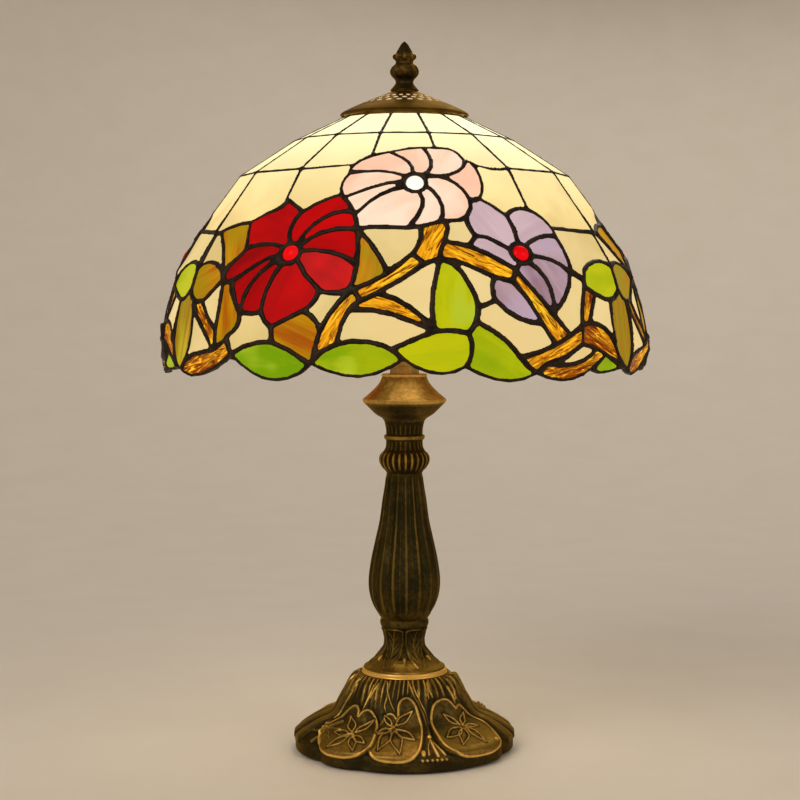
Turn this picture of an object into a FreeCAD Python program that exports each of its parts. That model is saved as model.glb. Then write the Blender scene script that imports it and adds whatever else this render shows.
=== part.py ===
"""Leaded glass table lamp with a cast bronze-finish base: an assembly of separate pieces.

Frame: millimetres, +Z up, origin on the table under the lamp's axis, front of the lamp towards -Y.
Angles round the lamp are azimuths in degrees from the front, positive towards +X.
"""
import FreeCAD, Part
import math
import os
import re
import Sketcher
from FreeCAD import Vector

DIMENSIONS = {
    # Joints between the stacked pieces, as heights above the table
    "FeltThickness": 1.5, "FootTop": 52, "CollarTop": 79, "BalusterTop": 176.5, "NeckTop": 209,
    "CupTop": 239, "SocketBottom": 245.5, "BulbTip": 270, "HarpTop": 395, "StudShoulder": 397.4,
    "CapTop": 415.5, "FinialBottom": 416.3, "TotalHeight": 447,
    # Radii of the column
    "FootRadius": 69.5, "LobeDepth": 3.5, "FeltRadius": 62, "WeightRadius": 52,
    "LipRadius": 26.8, "CollarWaist": 12.6, "BalusterRadius": 22.5, "NeckRadius": 11.6,
    "BulgeRadius": 16, "CupRadius": 26.6, "CapRadius": 40.4,
    # Lamp pipe, its clearance in the castings, and its nuts
    "PipeRadius": 5, "PipeBore": 4, "PipeHole": 5.4, "PipeBottom": 3, "PipeTop": 256,
    "NutCircle": 9.2, "NutHeight": 4.5,
    # Lead inlet at the back of the foot
    "InletHeight": 6.5, "InletHole": 4.2, "BushingRadius": 4.15, "BushingBore": 2.9,
    # Lampholder, bulb and harp
    "ShellRadius": 15.8, "ScrewShellRadius": 13.9, "BulbRadius": 30, "BulbTop": 376,
    "HarpWire": 1.9, "HarpHalfWidth": 48, "HarpFoot": 30, "StudRadius": 3, "StudHole": 3.3,
    # Shade surface: outer radius and height at each course line, then down to the rim
    "ApertureRadius": 38, "ApertureHeight": 399.2, "CourseOneRadius": 68, "CourseOneHeight": 384.7,
    "CourseTwoRadius": 102.5, "CourseTwoHeight": 362.3, "CourseThreeRadius": 128.5,
    "CourseThreeHeight": 326.5, "ShadeRadius": 152.5, "GirthHeight": 260,
    # Glass and came
    "GlassThickness": 3, "CameProud": 0.6, "GridCame": 1.1, "FloralCame": 1.4, "JewelRadius": 6.5,
    "JewelRise": 2.6,
    # Wheel that carries the shade
    "WheelRadius": 36.2, "WheelWall": 2.6, "HubRadius": 9, "ArmWidth": 5, "ArmThickness": 2,
}

DOC = FreeCAD.newDocument("leaded_glass_lamp")
SHEET = DOC.addObject("Spreadsheet::Sheet", "Dims")
SUBPARTS = []


def fill_sheet():
    for row, (alias, value) in enumerate(DIMENSIONS.items(), start=1):
        SHEET.set(f"A{row}", alias)
        SHEET.set(f"B{row}", str(value))
        SHEET.setAlias(f"B{row}", alias)
    DOC.recompute()


def split_term(term):
    """A term is a number, an alias, or an alias with an offset such as CapTop-1.2."""
    alias, offset = re.fullmatch(r"([A-Za-z]+)([+-][\d.]+)?", term).groups()
    return alias, float(offset or 0)


def number(term):
    if not isinstance(term, str):
        return float(term)
    alias, offset = split_term(term)
    return float(SHEET.get(alias)) + offset


def bind(owner, prop, term):
    """Tie a property or a named constraint to the sheet cell that the term names."""
    if isinstance(term, str):
        alias, offset = split_term(term)
        owner.setExpression(prop, f"Dims.{alias} + ({offset})")


def subpart(label, owner):
    owner.Label = label
    SUBPARTS.append(owner)
    return owner


def origin_plane(body, role):
    return next(item for item in body.Origin.OriginFeatures if item.Role == role)


def new_sketch(body, name, role):
    sketch = body.newObject("Sketcher::SketchObject", name)
    sketch.AttachmentSupport = (origin_plane(body, role), [""])
    sketch.MapMode = "FlatFace"
    return sketch


def bowed_arc(start, end, bow):
    """Arc whose middle stands off its chord by bow, to the right of travel when positive.

    Returns the arc, always counter-clockwise, and whether it runs from start to end.
    """
    chord = end - start
    radius = (chord.Length ** 2 / 4 + bow ** 2) / (2 * abs(bow))
    right = Vector(chord.y, -chord.x, 0).normalize()
    side = math.copysign(1, bow)
    centre = (start + end) * 0.5 - right * side * (radius - abs(bow))
    forward = bow > 0
    first, last = (start, end) if forward else (end, start)
    begin = math.atan2(first.y - centre.y, first.x - centre.x)
    finish = math.atan2(last.y - centre.y, last.x - centre.x)
    if finish < begin:
        finish += 2 * math.pi
    circle = Part.Circle(centre, Vector(0, 0, 1), radius)
    return Part.ArcOfCircle(circle, begin, finish), radius, forward


def profile_sketch(body, outline):
    """Closed outline of (radius, height) corners, or (radius, height, bow) to end an arc there."""
    sketch = new_sketch(body, "Profile", "XZ_Plane")
    corners = [Vector(number(item[0]), number(item[1]), 0) for item in outline]
    ends = []
    for index, item in enumerate(outline):
        start, end = corners[index - 1], corners[index]
        if len(item) == 3:
            arc, radius, forward = bowed_arc(start, end, item[2])
            edge = sketch.addGeometry(arc, False)
            sketch.addConstraint(Sketcher.Constraint("Radius", edge, radius))
        else:
            edge = sketch.addGeometry(Part.LineSegment(start, end), False)
            forward = True
        ends.append((edge, 1, 2) if forward else (edge, 2, 1))
    for index, item in enumerate(outline):
        edge, _, tail = ends[index]
        following, head, _ = ends[(index + 1) % len(ends)]
        sketch.addConstraint(Sketcher.Constraint("Coincident", edge, tail, following, head))
        for kind, axis, term in (("DistanceX", -2, item[0]), ("DistanceY", -1, item[1])):
            if number(term) == 0:
                sketch.addConstraint(Sketcher.Constraint("PointOnObject", edge, tail, axis))
                continue
            rule = Sketcher.Constraint(kind, -1, 1, edge, tail, number(term))
            place = sketch.addConstraint(rule)
            bind(sketch, f"Constraints[{place}]", term)
    return sketch


def turned_body(name, outline):
    """A body turned about the lamp's axis."""
    body = DOC.addObject("PartDesign::Body", name)
    sketch = profile_sketch(body, outline)
    turning = body.newObject("PartDesign::Revolution", "Turning")
    turning.Profile = sketch
    turning.ReferenceAxis = (sketch, ["V_Axis"])
    turning.Angle = 360
    sketch.Visibility = False
    DOC.recompute()
    return body


def turned(label, outline):
    return subpart(label, turned_body(label, outline))


def ring(label, inner, outer, bottom, top):
    return turned(label, [(inner, bottom), (outer, bottom), (outer, top), (inner, top)])


def on_axis(azimuth, radius, height=0):
    angle = math.radians(azimuth)
    return Vector(radius * math.sin(angle), -radius * math.cos(angle), height)


# ---------------------------------------------------------------- foot and column

NOTCHES = (-52, -24)      # azimuths of the notches in the foot's rim, repeated every quarter turn
QUARTERS = (0, 90, 180, 270)


def lobed_blank():
    """Prism with the foot's plan: a narrow and a wide lobe in every quarter."""
    rim = number("FootRadius")
    notch = rim - number("LobeDepth")
    turns = [base + quarter for quarter in QUARTERS for base in NOTCHES]
    turns.append(turns[0] + 360)
    arcs = []
    for start, end in zip(turns, turns[1:]):
        middle = on_axis((start + end) / 2, rim)
        arcs.append(Part.Arc(on_axis(start, notch), middle, on_axis(end, notch)).toShape())
    blank = DOC.addObject("Part::Feature", "LobedBlank")
    blank.Shape = Part.Face(Part.Wire(arcs)).extrude(Vector(0, 0, number("FootTop+1")))
    return blank


def foot_casting():
    """Hollow bell foot with a lobed rim and a hole for the lead's bushing at the back."""
    bell = turned_body("FootBell", [
        ("PipeHole", "FootTop"), ("PipeHole", "FootTop-5"), (20, "FootTop-6"),
        (33, 33), (43, 20.5), (60, 9.5), ("FootRadius-7", 9), ("FootRadius-7", "FeltThickness"),
        ("FootRadius", "FeltThickness"), ("FootRadius", 9), ("FootRadius-2", 11.5, 0.7),
        (45.5, 24.5, 1.0), (33.1, 44.4, -0.3), ("LipRadius", "FootTop-2.6"),
        ("LipRadius", "FootTop", 0.3)])
    lobed = DOC.addObject("Part::Common", "LobedFoot")
    lobed.Base = bell
    lobed.Tool = lobed_blank()
    drill = DOC.addObject("Part::Cylinder", "InletDrill")
    bind(drill, "Radius", "InletHole")
    bind(drill, "Height", "FootRadius-50")
    drill.Placement = FreeCAD.Placement(Vector(0, 55, number("InletHeight")),
                                        FreeCAD.Rotation(Vector(1, 0, 0), -90))
    foot = DOC.addObject("Part::Cut", "FootCasting")
    foot.Base = lobed
    foot.Tool = drill
    return subpart("foot_casting", foot)


def cord_bushing():
    """Plain bushing for the lead, lying along Y in the back of the rim."""
    outer = DOC.addObject("Part::Cylinder", "BushingBlank")
    inner = DOC.addObject("Part::Cylinder", "BushingBore")
    for cylinder, radius in ((outer, "BushingRadius"), (inner, "BushingBore")):
        bind(cylinder, "Radius", radius)
        cylinder.Height = 11
        cylinder.Placement = FreeCAD.Placement(Vector(0, 60.5, number("InletHeight")),
                                               FreeCAD.Rotation(Vector(1, 0, 0), -90))
    bushing = DOC.addObject("Part::Cut", "Bushing")
    bushing.Base = outer
    bushing.Tool = inner
    return subpart("cord_bushing", bushing)


def hex_nut(label, bottom):
    """Hexagonal nut on the lamp pipe."""
    blank = DOC.addObject("Part::Prism", label + "_blank")
    blank.Polygon = 6
    bind(blank, "Circumradius", "NutCircle")
    bind(blank, "Height", "NutHeight")
    hole = DOC.addObject("Part::Cylinder", label + "_hole")
    bind(hole, "Radius", "PipeRadius+0.1")
    bind(hole, "Height", "NutHeight")
    nut = DOC.addObject("Part::Cut", label)
    nut.Base = blank
    nut.Tool = hole
    nut.Placement.Base = Vector(0, 0, number(bottom))
    return subpart(label, nut)


def foot_group():
    felt = DOC.addObject("Part::Cylinder", "FeltPad")
    bind(felt, "Radius", "FeltRadius")
    bind(felt, "Height", "FeltThickness")
    subpart("felt_pad", felt)
    turned("base_weight", [
        (17, "FeltThickness"), ("WeightRadius", "FeltThickness"), ("WeightRadius", 11),
        ("WeightRadius-4", 15.5), ("PipeHole+0.2", 15.5), ("PipeHole+0.2", 10), (17, 10)])
    foot_casting()
    cord_bushing()
    hex_nut("base_nut", "PipeBottom+0.5")
    ring("base_washer", "PipeHole", 14, 8, 10)
    ring("lamp_pipe", "PipeBore", "PipeRadius", "PipeBottom", "PipeTop")


def column_group():
    turned("leaf_collar", [
        ("PipeHole", "CollarTop"), ("PipeHole", "FootTop"), ("LipRadius-0.8", "FootTop"),
        ("LipRadius-1", "FootTop+0.8"), ("CollarWaist+5.6", "FootTop+6"),
        ("CollarWaist", "FootTop+18", -1.2), ("CollarWaist+1.8", "CollarTop", -0.4)])
    turned("baluster", [
        ("PipeHole", "CollarTop+5"), ("PipeHole", "CollarTop"), (15.1, "CollarTop"),
        (15.1, "CollarTop+3.2", 0.5), (14.6, "CollarTop+4.2"),
        ("BalusterRadius", "CollarTop+28", 1.9), (18.6, "CollarTop+52.8", 0.8),
        (11.4, "BalusterTop", -0.7), ("PipeHole", "BalusterTop"), ("PipeHole", "BalusterTop-4"),
        (8.4, "BalusterTop-4"), (15.6, "CollarTop+52.8"), ("BalusterRadius-3", "CollarTop+28"),
        (11.6, "CollarTop+5")])
    turned("neck_casting", [
        ("PipeHole", "BalusterTop+3"), ("PipeHole", "BalusterTop"), (11.4, "BalusterTop"),
        ("BulgeRadius", "BalusterTop+8", 1.1), ("BulgeRadius-2.8", "BalusterTop+13.5", 0.8),
        ("NeckRadius", "BalusterTop+20", -0.4), ("NeckRadius", "BalusterTop+20.8"),
        ("NeckRadius", "BalusterTop+23.8", 1.1), ("NeckRadius", "NeckTop-6"),
        ("NeckRadius+1.1", "NeckTop", -0.3), ("PipeHole", "NeckTop"), ("PipeHole", "NeckTop-3"),
        ("NeckRadius-3", "NeckTop-3"), ("NeckRadius-3", "BalusterTop+3")])
    turned("socket_cup", [
        ("PipeHole", "NeckTop+2"), ("PipeHole", "NeckTop"), (12.7, "NeckTop"),
        (18.6, "NeckTop+4.9", -0.5), ("CupRadius-0.6", "NeckTop+12"),
        ("CupRadius-0.6", "NeckTop+14.4", 0.6), (17.1, "NeckTop+22.7", -0.9),
        (14.2, "CupTop-1.6", -0.3), (14.2, "CupTop", 0.4), ("PipeHole", "CupTop"),
        ("PipeHole", "CupTop-2"), (12.3, "CupTop-2"), (15.2, "CupTop-8"),
        ("CupRadius-3.4", "NeckTop+13.4"), (17.4, "NeckTop+6.8"), (12, "NeckTop+2")])
    hex_nut("column_nut", "CupTop")


# ---------------------------------------------------------------- lampholder and bulb

def lampholder_group():
    turned("socket_cap", [
        ("PipeRadius+0.1", "SocketBottom"), (8, "SocketBottom"), (8, "SocketBottom+4"),
        ("ShellRadius+1.2", "SocketBottom+11", 1.2), ("ShellRadius+1.2", "SocketBottom+18"),
        ("ShellRadius+0.2", "SocketBottom+18"), ("ShellRadius+0.2", "SocketBottom+11.8"),
        (7.4, "SocketBottom+6", -1.0), ("PipeRadius+0.1", "SocketBottom+6")])
    ring("socket_shell", "ShellRadius-0.8", "ShellRadius", "BulbTip-11.5", "BulbTip+30")
    ring("socket_sleeve", "ShellRadius-1.6", "ShellRadius-1", "BulbTip-10.5", "BulbTip+29")
    turned("socket_core", [
        (0, "BulbTip-2"), (0, "BulbTip-10.5"), (10.5, "BulbTip-10.5"), (10.5, "BulbTip-5"),
        ("ScrewShellRadius", "BulbTip-5"), ("ScrewShellRadius", "BulbTip-2")])
    ring("screw_shell", "ScrewShellRadius-0.5", "ScrewShellRadius", "BulbTip-2", "BulbTip+28")
    turned("centre_contact", [
        (0, "BulbTip"), (0, "BulbTip-2"), (5, "BulbTip-2"), (5, "BulbTip-1.4"),
        (2, "BulbTip", -0.3)])
    terminal_screws()


def terminal_screws():
    """The two screws on the sides of the core that hold the leads."""
    heads = []
    for side in (1, -1):
        seat = Vector(0, 10.5 * side, number("BulbTip-7.8"))
        heads.append(Part.makeCylinder(2.2, 2.6, seat, Vector(0, side, 0)))
    screws = DOC.addObject("Part::Feature", "TerminalScrews")
    screws.Shape = Part.makeCompound(heads)
    return subpart("terminal_screws", screws)


def bulb_group():
    turned("bulb_tip_contact", [
        (0, "BulbTip+1.5"), (0, "BulbTip"), (3.2, "BulbTip+0.5"), (3.8, "BulbTip+1.5")])
    turned("bulb_insulator", [
        (0, "BulbTip+7"), (0, "BulbTip+1.5"), (3.8, "BulbTip+1.5"), (12.2, "BulbTip+5"),
        (12.2, "BulbTip+7")])
    ring("bulb_screw_cap", 12.3, 13.05, "BulbTip+5", "BulbTip+29")
    turned("bulb_envelope", [
        (11, "BulbTip+8"), (11.9, "BulbTip+8"), (11.9, "BulbTip+30"),
        ("BulbRadius-4", "BulbTop-45", -1.6), ("BulbRadius", "BulbTop-30", 1.0),
        (3, "BulbTop", 8.0), (0, "BulbTop"), (0, "BulbTop-1"), (3, "BulbTop-1"),
        ("BulbRadius-1", "BulbTop-30", -7.7),
        ("BulbRadius-4.8", "BulbTop-44.8", -1.0), (11, "BulbTip+30", 1.6)])
    turned("bulb_stem", [
        (0, "BulbTip+8"), (10.6, "BulbTip+8"), (10.6, "BulbTip+10"), (4.2, "BulbTip+20", -1.5),
        (3, "BulbTip+50"), (0, "BulbTip+50")])
    filament = DOC.addObject("Part::Torus", "Filament")
    filament.Radius1 = 11
    filament.Radius2 = 0.6
    filament.Placement.Base = Vector(0, 0, number("BulbTip+70"))
    subpart("bulb_filament", filament)
    filament_supports()


def filament_supports():
    """Four wires that rise from the stem to the filament ring."""
    wires = []
    for azimuth in (45, 135, 225, 315):
        low = on_axis(azimuth, 2.4, number("BulbTip+50"))
        high = on_axis(azimuth, 10.2, number("BulbTip+69.6"))
        wires.append(Part.makeCylinder(0.4, (high - low).Length, low, high - low))
    supports = DOC.addObject("Part::Feature", "FilamentSupports")
    supports.Shape = Part.makeCompound(wires)
    return subpart("filament_supports", supports)


# ---------------------------------------------------------------- harp and shade fixing

def harp_saddle():
    """Flat strip clamped under the lampholder, with a collar for each leg of the harp."""
    bottom = number("CupTop") + number("NutHeight")
    foot = number("HarpFoot")
    strip = Part.makeBox(2 * foot, 12, 2, Vector(-foot, -6, bottom))
    holes = [Part.makeCylinder(number("PipeHole"), 2, Vector(0, 0, bottom))]
    for side in (1, -1):
        strip = strip.fuse(Part.makeCylinder(4, 9, Vector(side * foot, 0, bottom)))
        holes.append(Part.makeCylinder(number("HarpWire+0.1"), 8, Vector(side * foot, 0, bottom + 1)))
    saddle = DOC.addObject("Part::Feature", "HarpSaddle")
    saddle.Shape = strip.cut(Part.makeCompound(holes)).removeSplitter()
    return subpart("harp_saddle", saddle)


def rounded_wire(corners, radii):
    """Straight runs through the corners, joined by tangent arcs of the given radii."""
    edges = []
    start = corners[0]
    for before, corner, after, radius in zip(corners, corners[1:], corners[2:], radii):
        back = (before - corner).normalize()
        ahead = (after - corner).normalize()
        half = back.getAngle(ahead) / 2
        reach = radius / math.tan(half)
        first = corner + back * reach
        last = corner + ahead * reach
        middle_line = (back + ahead).normalize()
        middle = corner + middle_line * (radius / math.sin(half) - radius)
        edges.append(Part.LineSegment(start, first).toShape())
        edges.append(Part.Arc(first, middle, last).toShape())
        start = last
    edges.append(Part.LineSegment(start, corners[-1]).toShape())
    return Part.Wire(edges)


def harp_loop():
    """Bent wire round the bulb, standing in the saddle's two collars."""
    foot = number("HarpFoot")
    wide = number("HarpHalfWidth")
    bottom = number("CupTop") + number("NutHeight") + 2
    top = number("HarpTop")
    half = [Vector(foot, 0, bottom), Vector(foot, 0, 268), Vector(wide, 0, 300),
            Vector(wide, 0, 352), Vector(20, 0, top)]
    mirrored = [Vector(-point.x, 0, point.z) for point in reversed(half)]
    path = rounded_wire(half + mirrored, (18, 26, 40, 14, 14, 40, 26, 18))
    section = Part.Wire(Part.makeCircle(number("HarpWire"), half[0], Vector(0, 0, 1)))
    harp = DOC.addObject("Part::Feature", "HarpLoop")
    harp.Shape = path.makePipeShell([section], True, True)
    return subpart("harp_loop", harp)


def shade_wheel():
    """Ring soldered into the aperture, with three arms to a hub that drops over the stud."""
    arm_bottom = number("StudShoulder+1")
    thickness = number("ArmThickness")
    width = number("ArmWidth")
    inner = number("WheelRadius") - number("WheelWall")
    rim_bottom = Vector(0, 0, arm_bottom - 1)
    rim_height = thickness + 1
    rim = Part.makeCylinder(number("WheelRadius"), rim_height, rim_bottom)
    wheel = rim.cut(Part.makeCylinder(inner, rim_height, rim_bottom))
    wheel = wheel.fuse(Part.makeCylinder(number("HubRadius"), thickness, Vector(0, 0, arm_bottom)))
    for azimuth in (60, 180, 300):
        near = number("StudHole")
        arm = Part.makeBox(width, inner + 1 - near, thickness, Vector(-width / 2, near, arm_bottom))
        arm.rotate(Vector(), Vector(0, 0, 1), azimuth)
        wheel = wheel.fuse(arm)
    wheel = wheel.cut(Part.makeCylinder(number("StudHole"), rim_height, rim_bottom))
    holder = DOC.addObject("Part::Feature", "ShadeWheel")
    holder.Shape = wheel.removeSplitter()
    return subpart("shade_wheel", holder)


CAP_HOLES = 12            # pierced holes in each of the vase cap's two rows


def slot(sketch, azimuth, inner, outer, width):
    """Rounded slot along a radius, between two radii."""
    near = on_axis(azimuth, inner + width / 2)
    far = on_axis(azimuth, outer - width / 2)
    across = on_axis(azimuth + 90, width / 2)
    tip = on_axis(azimuth, width / 2)
    sketch.addGeometry([
        Part.LineSegment(near + across, far + across), Part.Arc(far + across, far + tip, far - across),
        Part.LineSegment(far - across, near - across), Part.Arc(near - across, near - tip, near + across)],
        False)


def vase_cap():
    """Shallow pierced cap over the aperture: two staggered rows of oval holes."""
    cap = turned_body("VaseCap", [
        ("StudHole", "CapTop"), ("StudHole", "CapTop-1.2"), (8.6, "CapTop-1.2"),
        (23.3, "CapTop-7.1"), (35.6, "CapTop-12.7"), (38.4, "CapTop-14.7"),
        (38.6, "CapTop-15.5"), ("CapRadius", "CapTop-15.5"), ("CapRadius", "CapTop-14.6"),
        (36.3, "CapTop-11.5", 0.3), (23.8, "CapTop-5.9"), (8.8, "CapTop")])
    solid_volume = cap.Shape.Volume
    holes = new_sketch(cap, "Holes", "XY_Plane")
    slot(holes, 0, 11.6, 16.2, 3.2)
    slot(holes, 180 / CAP_HOLES, 17.4, 22.4, 3.6)
    piercing = cap.newObject("PartDesign::Pocket", "Piercing")
    piercing.Profile = holes
    piercing.Type = "ThroughAll"
    piercing.Midplane = True
    DOC.recompute()
    pattern = cap.newObject("PartDesign::PolarPattern", "Piercings")
    pattern.Originals = [piercing]
    pattern.Axis = (origin_plane(cap, "Z_Axis"), [""])
    pattern.Angle = 360
    pattern.Occurrences = CAP_HOLES
    cap.Tip = pattern
    DOC.recompute()
    print("vase cap pierced away:", round(solid_volume - cap.Shape.Volume), "mm3")
    return subpart("vase_cap", cap)


def fixing_group():
    harp_saddle()
    harp_loop()
    turned("harp_stud", [
        (0, "StudShoulder+28"), (0, "HarpTop-3.5"), (5, "HarpTop-3.5"), (5, "StudShoulder"),
        ("StudRadius", "StudShoulder"), ("StudRadius", "StudShoulder+28")])
    ring("rest_washer", "StudHole", 8, "StudShoulder", "StudShoulder+1")
    shade_wheel()
    ring("cap_spacer", "StudHole", 5, "StudShoulder+3", "CapTop-1.2")
    vase_cap()
    ring("finial_washer", "StudHole", 8.2, "CapTop", "FinialBottom")
    turned("finial", [
        ("StudRadius+0.15", "FinialBottom+12"), ("StudRadius+0.15", "FinialBottom"),
        (8.9, "FinialBottom"), (8.4, "FinialBottom+1.2", 0.2), (5.4, "FinialBottom+6.5", -1.0),
        (5.4, "FinialBottom+17", 3.3), (6.2, "FinialBottom+20"), (6.2, "FinialBottom+22.6", 0.7),
        (5.2, "FinialBottom+23.4"), (1.2, "TotalHeight", 0.8), (0, "TotalHeight"),
        (0, "FinialBottom+12")])


# ---------------------------------------------------------------- leaded shade

COLUMN_TURN = 24          # degrees from one column line to the next, so 15 flat facets
REPEAT_TURN = 120         # the pattern repeats three times round
CHART_SCALE = 2.4         # chart millimetres for one degree of azimuth
APERTURE_LINE = -1.3      # distance down the shade of its top edge
COURSE_THREE = 118        # distance down the shade where the flat facets begin to fade
FACET_FADE = 30           # distance over which they fade into the round rim
FACET_SWELL = 1.004       # how far the facets stand out, so that their middles meet the round
CHART_END = 76            # azimuth where the chart stops, past the repeat line at 60
RIM_LIMIT = 215           # distance down the shade where the chart stops, past the rim
OVERRUN = 1.6             # each lead line runs on a little past both of its ends

# The section below the third course, as steps out and up from the girth
LOWER_SECTION = [(-14.5, 53), (-8.5, 36), (-2.2, 11), (0, 0), (-1, -10), (-2.7, -22)]

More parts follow.
